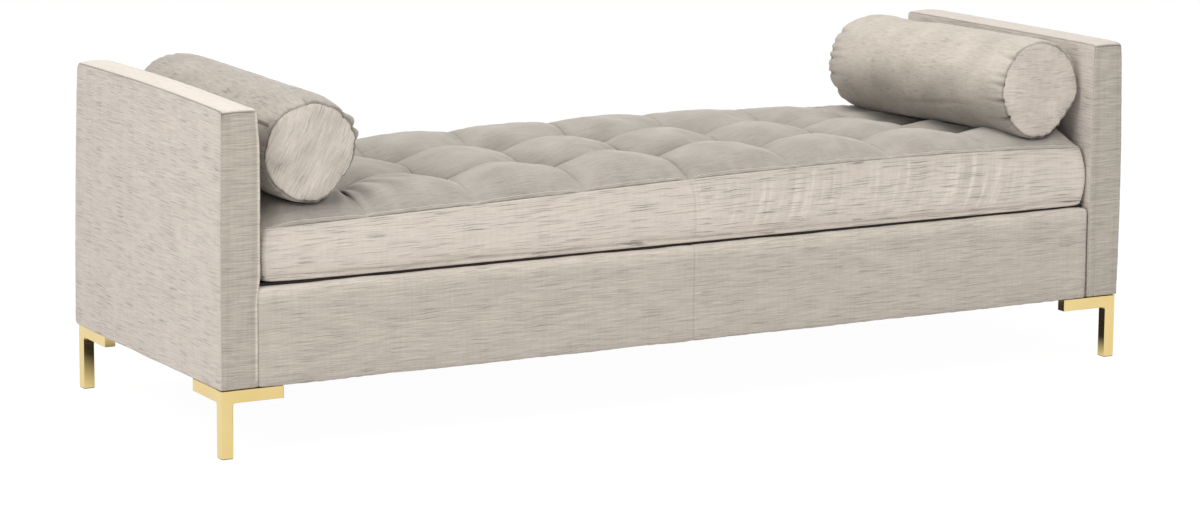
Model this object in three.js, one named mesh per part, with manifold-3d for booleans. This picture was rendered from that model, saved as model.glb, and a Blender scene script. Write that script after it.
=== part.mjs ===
// Recamier: a long backless seat between two straight end panels, with one tufted cushion,
// two loose bolsters and four square metal corner legs.
// Millimetres. X runs along the length, Y from the front to the back, Z up.
// The origin is on the floor under the middle of the seat.

import * as THREE from 'three';
import { mergeVertices } from 'three/addons/utils/BufferGeometryUtils.js';
import Module from 'manifold-3d';

const wasm = await Module();
wasm.setup();

// Overall sizes
const overallLength = 1981;
const overallDepth = 686;
const armSeamHeight = 635;
const armThickness = 71;
const legHeight = 127;
const railHeight = 185;

// Fits
const fitGap = 0.3;
const cutOverrun = 2;

// Padded covers
const padThickness = 11;
const armCrown = 7;
const armCrownRun = 45;
const armCornerRadius = 8;
const armEndCrownShare = 0.35;
const armCrownFullnessShare = 0.7;
const armEndSeamShare = 0.4;
const armCornerShares = [0, 0.08, 0.3, 0.62, 1];
const armCrownShares = [0.4, 0.7, 1];
const armBandSteps = 6;
const railTopPad = 10;
const railTopRadius = 9;
const railHemRadius = 3;
const hemThickness = 2;
const hemDepth = 25;
const lipDepth = 24;

// Timber and board
const boardThickness = 25;
const postDepth = 50;
const topRailHeight = 38;
const panelThickness = 5;
const crossRailThickness = 25;
const crossRailHeight = 90;
const crossRailCount = 2;
const blockSize = 90;
const blockHeight = 70;
const blockTip = 12;

// Webbing, deck pad and dust cover
const strapWidth = 60;
const strapThickness = 2;
const strapLanding = 12;
const strapEase = 3;
const crossStrapCount = 7;
const longStrapCount = 3;
const deckPadThickness = 11;
const dustCoverThickness = 1.2;

// Legs, their screws and glides
const barSize = 23;
const barEdge = 1;
const barFillet = 5;
const bracketReachX = 124.5;
const bracketReachY = 131.5;
const plateThickness = 4;
const plateMargin = 12;
const screwEdgeDistance = 22;
const screwSpread = 30;
const screwRadius = 2.4;
const screwHeadRadius = 5;
const screwHeadHeight = 3;
const screwCrownShare = 0.7;
const screwLength = 38;
const glideFlange = 1.5;
const plugDepth = 14;
const plugWall = 2.5;

// Seat cushion
const cushionSideGap = 3.5;
const cushionSetback = 12;
const cushionCornerRadius = 24;
const borderHeight = 131;
const borderBulge = 5;
const sideDrawIn = 3;
const seamPeakShare = 0.185;
const seamDropLeft = 28;
const seamDropRight = 12;
const crestRise = 35;
const crestDropShare = 0.55;
const crestBackDrop = 20;
const tuftDepth = 46;
const saddleShare = 0.52;
const creaseShare = 0.85;
const edgeRoll = 95;
const rollFullnessShare = 0.8;
const borderSwellShare = 0.55;
const puffColumns = 8;
const puffRows = 3;
const stepsAcrossPuff = 6;
const coreThickness = 80;
const coreInset = 30;
const coreFloor = 8;
const zipSlit = 1.2;
const cushionZipLength = 1200;

// Bolsters
const bolsterRadius = 101;
const bolsterLength = 630;
const bolsterCapRadius = 91.5;
const capCrown = 6;
const capSeamInset = 9;
const gatherDepth = 1.6;
const gatherRun = 75;
const capRadiusShares = [0.55, 0.9];
const capRiseShares = [0, 0.6];
const bodyShares = [0.12, 0.35, 0.7, 1];
const swellFullnessShare = 0.6;
const leftBolsterGap = 26;
const leftBolsterSink = 14;
const leftBolsterShift = 9;
const leftBolsterDrop = 0;
const rightBolsterGap = 13.5;
const rightBolsterSink = 21;
const rightBolsterShift = -11;
const rightBolsterDrop = 18;
const bolsterCoreRadius = 72;
const bolsterCoreLength = 560;
const bolsterZipLength = 420;
const bolsterPressGap = 2.3;
const bolsterSides = 32;

// Levels worked out from the sizes above
const halfLength = overallLength / 2;
const halfDepth = overallDepth / 2;
const innerX = halfLength - armThickness;
const railTop = legHeight + railHeight;
const boardBottom = legHeight + hemThickness + fitGap;
const boardTop = railTop - railTopPad - fitGap;
const boardFront = halfDepth - padThickness - fitGap;
const boardBack = boardFront - boardThickness;
const panelOuterX = halfLength - padThickness - fitGap;
const memberOuterX = panelOuterX - panelThickness - fitGap;
const panelInnerX = innerX + padThickness + fitGap;
const memberInnerX = panelInnerX + panelThickness + fitGap;
const armHollowTop = armSeamHeight - padThickness;
const topRailTop = armHollowTop - fitGap;
const topRailBottom = topRailTop - topRailHeight;
const weaveRise = (strapThickness + fitGap) / 2;
const strapLevel = boardTop + fitGap + strapThickness / 2;
const deckPadBottom = strapLevel + weaveRise + strapThickness / 2 + fitGap;
const deckPadTop = deckPadBottom + deckPadThickness;
const blockX = memberInnerX - fitGap;
const blockY = boardBack - fitGap;
const cushionBottom = deckPadTop + fitGap;
const cushionHalfLength = innerX - cushionSideGap;
const cushionHalfDepth = halfDepth - cushionSetback;
const puffPitchX = 2 * cushionHalfLength / puffColumns;
const puffPitchY = 2 * cushionHalfDepth / puffRows;
const leftBolsterX = -(innerX - leftBolsterGap - bolsterRadius);
const rightBolsterX = innerX - rightBolsterGap - bolsterRadius;

// Materials
const paint = {
  fabric: { color: '#b9aea0', roughness: 0.85, metalness: 0 },
  cushionFabric: { color: '#aca294', roughness: 0.85, metalness: 0 },
  foam: { color: '#e6dcb4', roughness: 0.95, metalness: 0 },
  timber: { color: '#c49a66', roughness: 0.7, metalness: 0 },
  hardboard: { color: '#8a6844', roughness: 0.75, metalness: 0 },
  webbing: { color: '#4b4138', roughness: 0.9, metalness: 0 },
  felt: { color: '#8c8880', roughness: 0.95, metalness: 0 },
  dustCloth: { color: '#1c1c1e', roughness: 0.9, metalness: 0 },
  brass: { color: '#e2c069', roughness: 0.25, metalness: 1 },
  steel: { color: '#9a9ca0', roughness: 0.4, metalness: 1 },
  plastic: { color: '#1a1a1a', roughness: 0.6, metalness: 0 },
};

const group = new THREE.Group();
group.name = 'recamier';

function addMesh(name, geometry, finish) {
  const mesh = new THREE.Mesh(geometry, new THREE.MeshStandardMaterial(paint[finish]));
  mesh.name = name;
  group.add(mesh);
  return mesh;
}

// A block given by its two opposite corners.
function block(low, high) {
  const size = high.map((value, axis) => value - low[axis]);
  const geometry = new THREE.BoxGeometry(size[0], size[1], size[2]);
  return geometry.translate(low[0] + size[0] / 2, low[1] + size[1] / 2, low[2] + size[2] / 2);
}

function toSolid(geometry) {
  const bare = geometry.clone();
  bare.deleteAttribute('normal');
  bare.deleteAttribute('uv');
  const merged = mergeVertices(bare);
  const mesh = new wasm.Mesh({
    numProp: 3,
    vertProperties: new Float32Array(merged.attributes.position.array),
    triVerts: new Uint32Array(merged.index.array),
  });
  return new wasm.Manifold(mesh);
}

function toGeometry(solid) {
  const mesh = solid.getMesh();
  const geometry = new THREE.BufferGeometry();
  const points = new Float32Array(mesh.numVert * 3);
  for (let vertex = 0; vertex < mesh.numVert; vertex += 1) {
    for (let axis = 0; axis < 3; axis += 1) {
      points[vertex * 3 + axis] = mesh.vertProperties[vertex * mesh.numProp + axis];
    }
  }
  geometry.setAttribute('position', new THREE.BufferAttribute(points, 3));
  geometry.setIndex(Array.from(mesh.triVerts));
  geometry.computeVertexNormals();
  return geometry;
}

function joined(first, ...others) {
  return others.reduce((sum, other) => sum.add(toSolid(other)), toSolid(first));
}

function carved(solid, ...cutters) {
  return cutters.reduce((rest, cutter) => rest.subtract(toSolid(cutter)), solid);
}

// Turns a shape made for the back right corner to another corner, keeping its faces outwards.
function toCorner(geometry, signX, signY) {
  const turned = geometry.clone().scale(signX, signY, 1);
  if (signX * signY < 0) {
    const order = turned.index ? turned.index.array : null;
    if (order) {
      for (let at = 0; at < order.length; at += 3) {
        [order[at], order[at + 1]] = [order[at + 1], order[at]];
      }
    } else {
      const points = turned.attributes.position;
      for (let at = 0; at < points.count; at += 3) {
        const held = [points.getX(at), points.getY(at), points.getZ(at)];
        points.setXYZ(at, points.getX(at + 1), points.getY(at + 1), points.getZ(at + 1));
        points.setXYZ(at + 1, held[0], held[1], held[2]);
      }
    }
  }
  turned.computeVertexNormals();
  return turned;
}

// A closed skin over rings with the same number of points. Each end is closed by a fan to its middle.
function loft(rings) {
  const sides = rings[0].length;
  const points = [];
  const faces = [];
  rings.forEach((ring) => ring.forEach((point) => points.push(...point)));
  for (let ring = 0; ring + 1 < rings.length; ring += 1) {
    for (let side = 0; side < sides; side += 1) {
      const next = (side + 1) % sides;
      const a = ring * sides + side;
      const b = ring * sides + next;
      const c = a + sides;
      const d = b + sides;
      faces.push(a, b, d, a, d, c);
    }
  }
  [0, rings.length - 1].forEach((end) => {
    const ring = rings[end];
    const middle = [0, 1, 2].map((axis) => ring.reduce((sum, point) => sum + point[axis], 0) / sides);
    const hub = points.length / 3;
    points.push(...middle);
    for (let side = 0; side < sides; side += 1) {
      const here = end * sides + side;
      const next = end * sides + ((side + 1) % sides);
      faces.push(...(end === 0 ? [hub, next, here] : [hub, here, next]));
    }
  });
  const geometry = new THREE.BufferGeometry();
  geometry.setAttribute('position', new THREE.Float32BufferAttribute(points, 3));
  geometry.setIndex(faces);
  geometry.computeVertexNormals();
  return geometry;
}

// Arm frames: two posts, a top rail, an end rail at the seat and a thin panel on each face.
function addArmFrame(side, sign) {
  const span = (low, high) => (sign > 0 ? [low, high] : [-high, -low]);
  const [memberLow, memberHigh] = span(memberInnerX, memberOuterX);
  const postTop = topRailBottom - fitGap;
  const postBack = boardFront - postDepth;
  const frontPost = block([memberLow, -boardFront, boardBottom], [memberHigh, -postBack, postTop]);
  addMesh(`${side}_arm_front_post`, frontPost, 'timber');
  const backPost = block([memberLow, postBack, boardBottom], [memberHigh, boardFront, postTop]);
  addMesh(`${side}_arm_back_post`, backPost, 'timber');
  const topRail = block([memberLow, -boardFront, topRailBottom], [memberHigh, boardFront, topRailTop]);
  addMesh(`${side}_arm_top_rail`, topRail, 'timber');
  const endRailReach = postBack - fitGap;
  const endRail = block([memberLow, -endRailReach, boardBottom], [memberHigh, endRailReach, boardTop]);
  addMesh(`${side}_end_rail`, endRail, 'timber');
  const [outerLow, outerHigh] = span(memberOuterX + fitGap, panelOuterX);
  const outerPanel = block([outerLow, -boardFront, boardBottom], [outerHigh, boardFront, topRailTop]);
  addMesh(`${side}_arm_outer_panel`, outerPanel, 'hardboard');
  const [innerLow, innerHigh] = span(panelInnerX, memberInnerX - fitGap);
  const panelFoot = deckPadBottom + fitGap;
  const innerPanel = block([innerLow, -boardFront, panelFoot], [innerHigh, boardFront, topRailTop]);
  addMesh(`${side}_arm_inner_panel`, innerPanel, 'hardboard');
}

// Arm cover: padded fabric over the arm, open below, with a crowned band between its two top
// seams. Its inner wall stops at the deck, where the seat rails pass into the arm.
function armSection(y, sign) {
  const fromEnd = halfDepth - Math.abs(y);
  const rise = Math.min(1, fromEnd / armCrownRun);
  const crown = armCrown * (armEndCrownShare + (1 - armEndCrownShare) * Math.sin(rise * Math.PI / 2));
  const turn = Math.max(0, 1 - fromEnd / armCornerRadius);
  const foot = legHeight + armCornerRadius * (1 - Math.sqrt(1 - turn * turn));
  const seam = armSeamHeight - armCornerRadius * armEndSeamShare * turn * turn;
  const ring = [[halfLength, y, foot]];
  for (let step = 0; step <= armBandSteps; step += 1) {
    const share = step / armBandSteps;
    const x = halfLength - armThickness * share;
    const z = seam + crown * Math.sin(share * Math.PI) ** armCrownFullnessShare;
    ring.push([x, y, z]);
  }
  ring.push([innerX, y, foot]);
  return ring.map(([x, along, z]) => [sign * x, along, z]);
}

function addArmCover(side, sign) {
  const inset = armCornerShares.map((share) => armCornerRadius * share);
  armCrownShares.forEach((share) => inset.push(armCornerRadius + (armCrownRun - armCornerRadius) * share));
  const stations = inset.map((value) => halfDepth - value);
  const along = [...stations.map((value) => -value), ...stations.slice().reverse()];
  const rings = along.map((y) => armSection(y, sign));
  const outer = sign < 0 ? loft(rings) : loft(rings.map((ring) => ring.slice().reverse()));
  const hollowLow = [innerX + padThickness, -halfDepth + padThickness, legHeight - cutOverrun];
  const hollowHigh = [halfLength - padThickness, halfDepth - padThickness, armHollowTop];
  const wayLow = [innerX - cutOverrun, -halfDepth + padThickness, legHeight - cutOverrun];
  const wayHigh = [innerX + padThickness + cutOverrun, halfDepth - padThickness, deckPadBottom];
  const hollow = toCorner(block(hollowLow, hollowHigh), sign, 1);
  const way = toCorner(block(wayLow, wayHigh), sign, 1);
  addMesh(`${side}_arm_cover`, toGeometry(carved(toSolid(outer), hollow, way)), 'fabric');
}

// Seat frame: front and back boards between the arms' posts, cross rails and corner blocks.
function addSeatFrame() {
  const reach = blockX;
  const frontRail = block([-reach, -boardFront, boardBottom], [reach, -boardBack, boardTop]);
  addMesh('front_seat_rail', frontRail, 'timber');
  const backRail = block([-reach, boardBack, boardBottom], [reach, boardFront, boardTop]);
  addMesh('back_seat_rail', backRail, 'timber');
  const railPitch = 2 * reach / (crossRailCount + 1);
  for (let index = 0; index < crossRailCount; index += 1) {
    const x = (index + 1) * railPitch - reach;
    const low = [x - crossRailThickness / 2, -blockY, boardBottom];
    const high = [x + crossRailThickness / 2, blockY, boardBottom + crossRailHeight];
    addMesh(`cross_rail_${index + 1}`, block(low, high), 'timber');
  }
}

// Upright extrusion of an outline in X and Y.
function upright(outline, bottom, height) {
  const shape = new THREE.Shape(outline.map(([x, y]) => new THREE.Vector2(x, y)));
  const geometry = new THREE.ExtrudeGeometry(shape, { depth: height, bevelEnabled: false });
  return geometry.translate(0, 0, bottom);
}

// Where the two screws of a leg stand, from the corner block that they go into.
const screwPlaces = [
  [blockX - screwEdgeDistance, blockY - screwEdgeDistance - screwSpread],
  [blockX - screwEdgeDistance - screwSpread, blockY - screwEdgeDistance],
];

function screwHole(place, bottom, top) {
  const radius = screwRadius + fitGap;
  const hole = new THREE.CylinderGeometry(radius, radius, top - bottom, 10);
  hole.rotateX(Math.PI / 2);
  return hole.translate(place[0], place[1], (top + bottom) / 2);
}

const plateTop = legHeight - fitGap;
const plateBottom = plateTop - plateThickness;
const screwTop = plateBottom - fitGap - screwHeadHeight + screwLength;

function cornerBlock() {
  const outline = [
    [blockX, blockY],
    [blockX - blockSize, blockY],
    [blockX - blockSize, blockY - blockTip],
    [blockX - blockTip, blockY - blockSize],
    [blockX, blockY - blockSize],
  ];
  const body = toSolid(upright(outline, boardBottom, blockHeight));
  const holes = screwPlaces.map((place) => screwHole(place, boardBottom - cutOverrun, screwTop + fitGap));
  return toGeometry(carved(body, ...holes));
}

// Leg: square bar with two mitred arms under the frame, a welded plate in the corner and a
// socket in the foot for the glide. Built at the back right corner, outside faces flush.
function legProfile(reach) {
  const armUnder = plateTop - barSize;
  const shape = new THREE.Shape();
  shape.moveTo(0, glideFlange);
  shape.lineTo(barSize, glideFlange);
  shape.lineTo(barSize, armUnder - barFillet);
  shape.absarc(barSize + barFillet, armUnder - barFillet, barFillet, Math.PI, Math.PI / 2, true);
  shape.lineTo(reach, armUnder);
  shape.lineTo(reach, plateTop);
  shape.lineTo(0, plateTop);
  shape.closePath();
  return shape;
}

function barFrame(reach) {
  const geometry = new THREE.ExtrudeGeometry(legProfile(reach), {
    depth: barSize - 2 * barEdge,
    bevelEnabled: true,
    bevelThickness: barEdge,
    bevelSize: barEdge,
    bevelOffset: -barEdge,
    bevelSegments: 1,
    curveSegments: 5,
  });
  return geometry.translate(0, 0, barEdge);
}

function leg() {
  const alongX = barFrame(bracketReachX);
  alongX.rotateX(Math.PI / 2);
  alongX.translate(0, barSize, 0);
  const alongY = barFrame(bracketReachY);
  alongY.rotateX(Math.PI / 2);
  alongY.rotateZ(Math.PI / 2);
  const plateX = halfLength - screwPlaces[1][0] + plateMargin;
  const plateY = halfDepth - screwPlaces[0][1] + plateMargin;
  const nearX = halfLength - screwPlaces[0][0] + plateMargin;
  const nearY = halfDepth - screwPlaces[1][1] + plateMargin;
  const inside = barSize / 2;
  const outline = [[inside, inside], [plateX, inside], [plateX, nearY], [nearX, plateY], [inside, plateY]];
  const plate = upright(outline, plateBottom, plateThickness);
  const sleeve = plugWall;
  const socketTop = glideFlange + plugDepth + fitGap;
  const socketLow = [sleeve, sleeve, glideFlange - cutOverrun];
  const socket = block(socketLow, [barSize - sleeve, barSize - sleeve, socketTop]);
  const body = carved(joined(alongX, alongY, plate), socket);
  const placed = toGeometry(body).scale(-1, -1, 1).translate(halfLength, halfDepth, 0);
  const holes = screwPlaces.map((place) => screwHole(place, plateBottom - cutOverrun, plateTop + cutOverrun));
  return toGeometry(carved(toSolid(placed), ...holes));
}

function glide() {
  const plugSide = plugWall + fitGap;
  const flange = block([barEdge, barEdge, 0], [barSize - barEdge, barSize - barEdge, glideFlange - fitGap]);
  const plug = block([plugSide, plugSide, 0], [barSize - plugSide, barSize - plugSide, glideFlange + plugDepth]);
  const body = toGeometry(joined(flange, plug));
  return body.scale(-1, -1, 1).translate(halfLength, halfDepth, 0);
}

function screw(place) {
  const headTop = plateBottom - fitGap;
  const outline = [
    [0, headTop - screwHeadHeight],
    [screwHeadRadius * screwCrownShare, headTop - screwHeadHeight],
    [screwHeadRadius, headTop - screwHeadHeight / 2],
    [screwHeadRadius, headTop],
    [screwRadius, headTop],
    [screwRadius, screwTop - screwRadius * 2],
    [0, screwTop],
  ];
  const geometry = new THREE.LatheGeometry(outline.map(([x, y]) => new THREE.Vector2(x, y)), 8);
  geometry.rotateX(Math.PI / 2);
  return geometry.translate(place[0], place[1], 0);
}

function addCorner(name, signX, signY) {
  addMesh(`corner_block_${name}`, toCorner(cornerBlock(), signX, signY), 'timber');
  addMesh(`leg_${name}`, toCorner(leg(), signX, signY), 'brass');
  addMesh(`glide_${name}`, toCorner(glide(), signX, signY), 'plastic');
  screwPlaces.forEach((place, index) => {
    addMesh(`leg_screw_${name}_${index + 1}`, toCorner(screw(place), signX, signY), 'steel');
  });
}

// Webbing: flat straps that pass over and under each other, made from a bent centre line.
function strap(points, along) {
  const halfWidth = strapWidth / 2;
  const half = strapThickness / 2;
  const place = (run, side, z) => (along === 'x' ? [run, side, z] : [-side, run, z]);
  const rings = points.map(([run, side, z]) => [
    place(run, side - halfWidth, z - half),
    place(run, side + halfWidth, z - half),
    place(run, side + halfWidth, z + half),
    place(run, side - halfWidth, z + half),
  ]);
  return loft(rings);
}

function strapLine(places, side, end, firstUp) {
  const flat = strapWidth / 2 + strapEase;
  const line = [[-end, side, strapLevel]];
  places.forEach((run, index) => {
    const up = (index % 2 === 0) === firstUp;
    const z = strapLevel + (up ? weaveRise : -weaveRise);
    line.push([run - flat, side, z], [run + flat, side, z]);
  });
  line.push([end, side, strapLevel]);
  return line;
}

function addWebbing() {
  const crossPitch = 2 * innerX / crossStrapCount;
  const longPitch = 2 * boardBack / longStrapCount;
  const spread = (count, pitch) => Array.from({ length: count }, (_, index) => (index - (count - 1) / 2) * pitch);
  const crossPlaces = spread(crossStrapCount, crossPitch);
  const longPlaces = spread(longStrapCount, longPitch);
  crossPlaces.forEach((x, index) => {
    const line = strapLine(longPlaces, -x, halfDepth - lipDepth - fitGap, index % 2 === 0);
    addMesh(`cross_strap_${index + 1}`, strap(line, 'y'), 'webbing');
  });
  longPlaces.forEach((y, index) => {
    const line = strapLine(crossPlaces, y, memberInnerX + strapLanding, index % 2 !== 0);
    addMesh(`long_strap_${index + 1}`, strap(line, 'x'), 'webbing');
  });
}

// Deck pad on the webbing, and the dust cover under the frame with the screws' holes in it.
function addDeckAndDustCover() {
  const deckX = innerX - fitGap;
  const deckY = halfDepth - lipDepth - fitGap;
  addMesh('deck_pad', block([-deckX, -deckY, deckPadBottom], [deckX, deckY, deckPadTop]), 'felt');
  const dustX = panelOuterX;
  const dustY = halfDepth - hemDepth - fitGap;
  const dustTop = boardBottom - fitGap;
  const dustBottom = dustTop - dustCoverThickness;
  const sheet = toSolid(block([-dustX, -dustY, dustBottom], [dustX, dustY, dustTop]));
  const holes = [];
  [[1, 1], [-1, 1], [1, -1], [-1, -1]].forEach(([signX, signY]) => {
    screwPlaces.forEach((place) => {
      const spot = [place[0] * signX, place[1] * signY];
      holes.push(screwHole(spot, dustBottom - cutOverrun, dustTop + cutOverrun));
    });
  });
  addMesh('dust_cover', toGeometry(carved(sheet, ...holes)), 'dustCloth');
}

// Rail cover: padded fabric round the outside of a seat board, turned in above and below it.
function addRailCover(name, sign) {
  const outside = halfDepth;
  const shape = new THREE.Shape();
  shape.moveTo(outside - hemDepth, legHeight);
  shape.lineTo(outside - railHemRadius, legHeight);
  shape.absarc(outside - railHemRadius, legHeight + railHemRadius, railHemRadius, -Math.PI / 2, 0, false);
  shape.lineTo(outside, railTop - railTopRadius);
  shape.absarc(outside - railTopRadius, railTop - railTopRadius, railTopRadius, 0, Math.PI / 2, false);
  shape.lineTo(outside - lipDepth, railTop);
  shape.lineTo(outside - lipDepth, railTop - railTopPad);
  shape.lineTo(outside - padThickness, railTop - railTopPad);
  shape.lineTo(outside - padThickness, legHeight + hemThickness);
  shape.lineTo(outside - hemDepth, legHeight + hemThickness);
  shape.closePath();
  const reach = innerX - fitGap;
  const settings = { depth: 2 * reach, bevelEnabled: false, curveSegments: 5 };
  const geometry = new THREE.ExtrudeGeometry(shape, settings);
  geometry.translate(0, 0, -reach);
  geometry.rotateX(Math.PI / 2);
  geometry.rotateZ(Math.PI / 2);
  addMesh(name, toCorner(geometry, 1, sign), 'fabric');
}

// Height of the cushion's top seam: highest right of the middle, lower towards both ends.
function seamDrop(x) {
  const share = x / cushionHalfLength;
  const left = share < seamPeakShare;
  const away = left ? (seamPeakShare - share) / (1 + seamPeakShare) : (share - seamPeakShare) / (1 - seamPeakShare);
  const drop = left ? seamDropLeft : seamDropRight;
  return drop * (1 - Math.cos(Math.PI * Math.min(1, away))) / 2;
}

const seamTop = cushionBottom + borderHeight;

function crestLevel(x, y) {
  const backwards = (1 + y / cushionHalfDepth) / 2;
  const rightwards = (1 + x / cushionHalfLength) / 2;
  return seamTop + crestRise - crestDropShare * seamDrop(x) - crestBackDrop * backwards * rightwards;
}

// The bolsters lie a little askew: the back end is shifted along the seat and lower than the front.
function restingBolster(side, sign, x, sink, shift, drop) {
  const z = crestLevel(x, 0) - sink + bolsterRadius;
  return { side, sign, x, z, shift: shift / bolsterLength, rise: -drop / bolsterLength };
}

const bolsters = [
  restingBolster('left', -1, leftBolsterX, leftBolsterSink, leftBolsterShift, leftBolsterDrop),
  restingBolster('right', 1, rightBolsterX, rightBolsterSink, rightBolsterShift, rightBolsterDrop),
];

// Tufted top: soft square puffs, deepest at the sewn tufts, with shallower valleys between them,
// rolled down to the seam at the edges and pressed in under the bolsters.
function cushionTop(x, y) {
  const column = Math.abs(Math.sin(Math.PI * (x + cushionHalfLength) / puffPitchX));
  const lastRow = cushionHalfDepth - puffPitchY / 2;
  const rowPlace = Math.min(lastRow, Math.max(-lastRow, y));
  const row = Math.abs(Math.sin(Math.PI * (rowPlace + cushionHalfDepth) / puffPitchY));
  const hollow = (column * row) ** creaseShare;
  const ridge = 1 - (1 - column * column) * (1 - row * row);
  const puff = (1 - saddleShare) * hollow + saddleShare * ridge;
  const level = crestLevel(x, y) - tuftDepth * (1 - puff);
  const seam = seamTop - seamDrop(x);
  const edgeX = cushionHalfLength - borderBulge - Math.abs(x);
  const edgeY = cushionHalfDepth - borderBulge - Math.abs(y);
  const roll = (distance) => Math.sin(Math.PI / 2 * Math.min(1, Math.max(0, distance) / edgeRoll));
  const blend = (roll(edgeX) * roll(edgeY)) ** rollFullnessShare;
  let top = seam + (level - seam) * blend;
  bolsters.forEach((bolster) => {
    const reach = bolsterRadius + bolsterPressGap;
    const across = Math.abs(x - bolster.x - bolster.shift * y);
    if (across < reach) {
      top = Math.min(top, bolster.z + bolster.rise * y - Math.sqrt(reach * reach - across * across));
    }
  });
  return top;
}

// Seat cushion: tufted top, boxed border that swells between its two seams, flat underside.
function cushionForm() {
  const columns = puffColumns * stepsAcrossPuff;
  const rows = puffRows * stepsAcrossPuff;
  const seamX = cushionHalfLength - borderBulge;
  const seamY = cushionHalfDepth - borderBulge;
  const points = [];
  const faces = [];
  const cornerCut = (1 - Math.SQRT1_2) * cushionCornerRadius;
  for (let row = 0; row <= rows; row += 1) {
    for (let column = 0; column <= columns; column += 1) {
      const shareX = 2 * column / columns - 1;
      const shareY = 2 * row / rows - 1;
      const atEnd = column === 0 || column === columns;
      const atSide = row === 0 || row === rows;
      const drawX = atEnd ? sideDrawIn * (1 - shareY * shareY) : 0;
      const drawY = atSide ? sideDrawIn * (1 - shareX ** 8) : 0;
      const cut = atEnd && atSide ? cornerCut : 0;
      const x = shareX * seamX - Math.sign(shareX) * (drawX + cut);
      const y = shareY * seamY - Math.sign(shareY) * (drawY + cut);
      const seam = seamTop - seamDrop(x);
      points.push([x, y, atEnd || atSide ? seam : cushionTop(x, y)]);
    }
  }
  const at = (row, column) => row * (columns + 1) + column;
  for (let row = 0; row < rows; row += 1) {
    for (let column = 0; column < columns; column += 1) {
      const a = at(row, column);
      const b = at(row, column + 1);
      const c = at(row + 1, column);
      const d = at(row + 1, column + 1);
      const level = Math.abs(points[a][2] - points[d][2]) < Math.abs(points[b][2] - points[c][2]);
      faces.push(...(level ? [a, b, d, a, d, c] : [a, b, c, b, d, c]));
    }
  }
  const edge = [];
  for (let column = 0; column < columns; column += 1) edge.push(at(0, column));
  for (let row = 0; row < rows; row += 1) edge.push(at(row, columns));
  for (let column = columns; column > 0; column -= 1) edge.push(at(rows, column));
  for (let row = rows; row > 0; row -= 1) edge.push(at(row, 0));
  const borderLevels = [
    { share: borderSwellShare, out: borderBulge },
    { share: 0, out: 0 },
  ];
  let upper = edge;
  let outline = [];
  borderLevels.forEach((level) => {
    const lower = [];
    outline = [];
    edge.forEach((index) => {
      const [x, y, z] = points[index];
      const bottom = cushionBottom;
      const outX = Math.abs(x) > seamX - cushionCornerRadius ? Math.sign(x) * level.out : 0;
      const outY = Math.abs(y) > seamY - cushionCornerRadius ? Math.sign(y) * level.out : 0;
      lower.push(points.length);
      points.push([x + outX, y + outY, bottom + (z - bottom) * level.share]);
      outline.push(new THREE.Vector2(x + outX, y + outY));
    });
    for (let side = 0; side < edge.length; side += 1) {
      const next = (side + 1) % edge.length;
      faces.push(upper[side], lower[side], lower[next], upper[side], lower[next], upper[next]);
    }
    upper = lower;
  });
  const base = THREE.ShapeUtils.triangulateShape(outline, []);
  base.forEach(([a, b, c]) => faces.push(upper[a], upper[c], upper[b]));
  const geometry = new THREE.BufferGeometry();
  geometry.setAttribute('position', new THREE.Float32BufferAttribute(points.flat(), 3));
  geometry.setIndex(faces);
  geometry.computeVertexNormals();
  return geometry;
}

function addCushion() {
  const coreX = cushionHalfLength - coreInset;
  const coreY = cushionHalfDepth - coreInset;
  const coreLow = [-coreX, -coreY, cushionBottom + coreFloor + fitGap];
  const coreHigh = [coreX, coreY, cushionBottom + coreFloor + fitGap + coreThickness];
  const hollowLow = coreLow.map((value) => value - fitGap);
  const hollowHigh = coreHigh.map((value) => value + fitGap);
  const zipLevel = (coreLow[2] + coreHigh[2]) / 2;
  const zipHalf = cushionZipLength / 2;
  const zipLow = [-zipHalf, coreY - cutOverrun, zipLevel - zipSlit / 2];
  const zipHigh = [zipHalf, cushionHalfDepth + cutOverrun, zipLevel + zipSlit / 2];
  const cover = carved(toSolid(cushionForm()), block(hollowLow, hollowHigh), block(zipLow, zipHigh));
  addMesh('seat_cushion_cover', toGeometry(cover), 'cushionFabric');
  addMesh('seat_cushion_core', block(coreLow, coreHigh), 'foam');
}

// Bolster: stuffed roll with a round cap sewn on at each end, gathered a little at the cap seams.
function bolsterForm() {
  const halfRoll = bolsterLength / 2;
  const stations = capRadiusShares.map((share, index) => ({
    from: capCrown * capRiseShares[index],
    radius: bolsterCapRadius * share,
    gather: 0,
  }));
  stations.push({ from: capSeamInset, radius: bolsterCapRadius, gather: 0 });
  bodyShares.forEach((share) => {
    const swell = Math.sin(share * Math.PI / 2) ** swellFullnessShare;
    stations.push({
      from: capSeamInset + gatherRun * share,
      radius: bolsterCapRadius + (bolsterRadius - bolsterCapRadius) * swell,
      gather: gatherDepth * (1 - share),
    });
  });
  const ringAt = (y, radius, gather) => {
    const ring = [];
    for (let side = 0; side < bolsterSides; side += 1) {
      const angle = 2 * Math.PI * side / bolsterSides;
      const reach = radius - (side % 2 === 0 ? 0 : gather);
      ring.push([reach * Math.cos(angle), y, -reach * Math.sin(angle)]);
    }
    return ring;
  };
  const front = stations.map((station) => ringAt(station.from - halfRoll, station.radius, station.gather));
  const back = stations.slice().reverse();
  const rear = back.map((station) => ringAt(halfRoll - station.from, station.radius, station.gather));
  return loft([...front, ...rear]);
}

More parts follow.
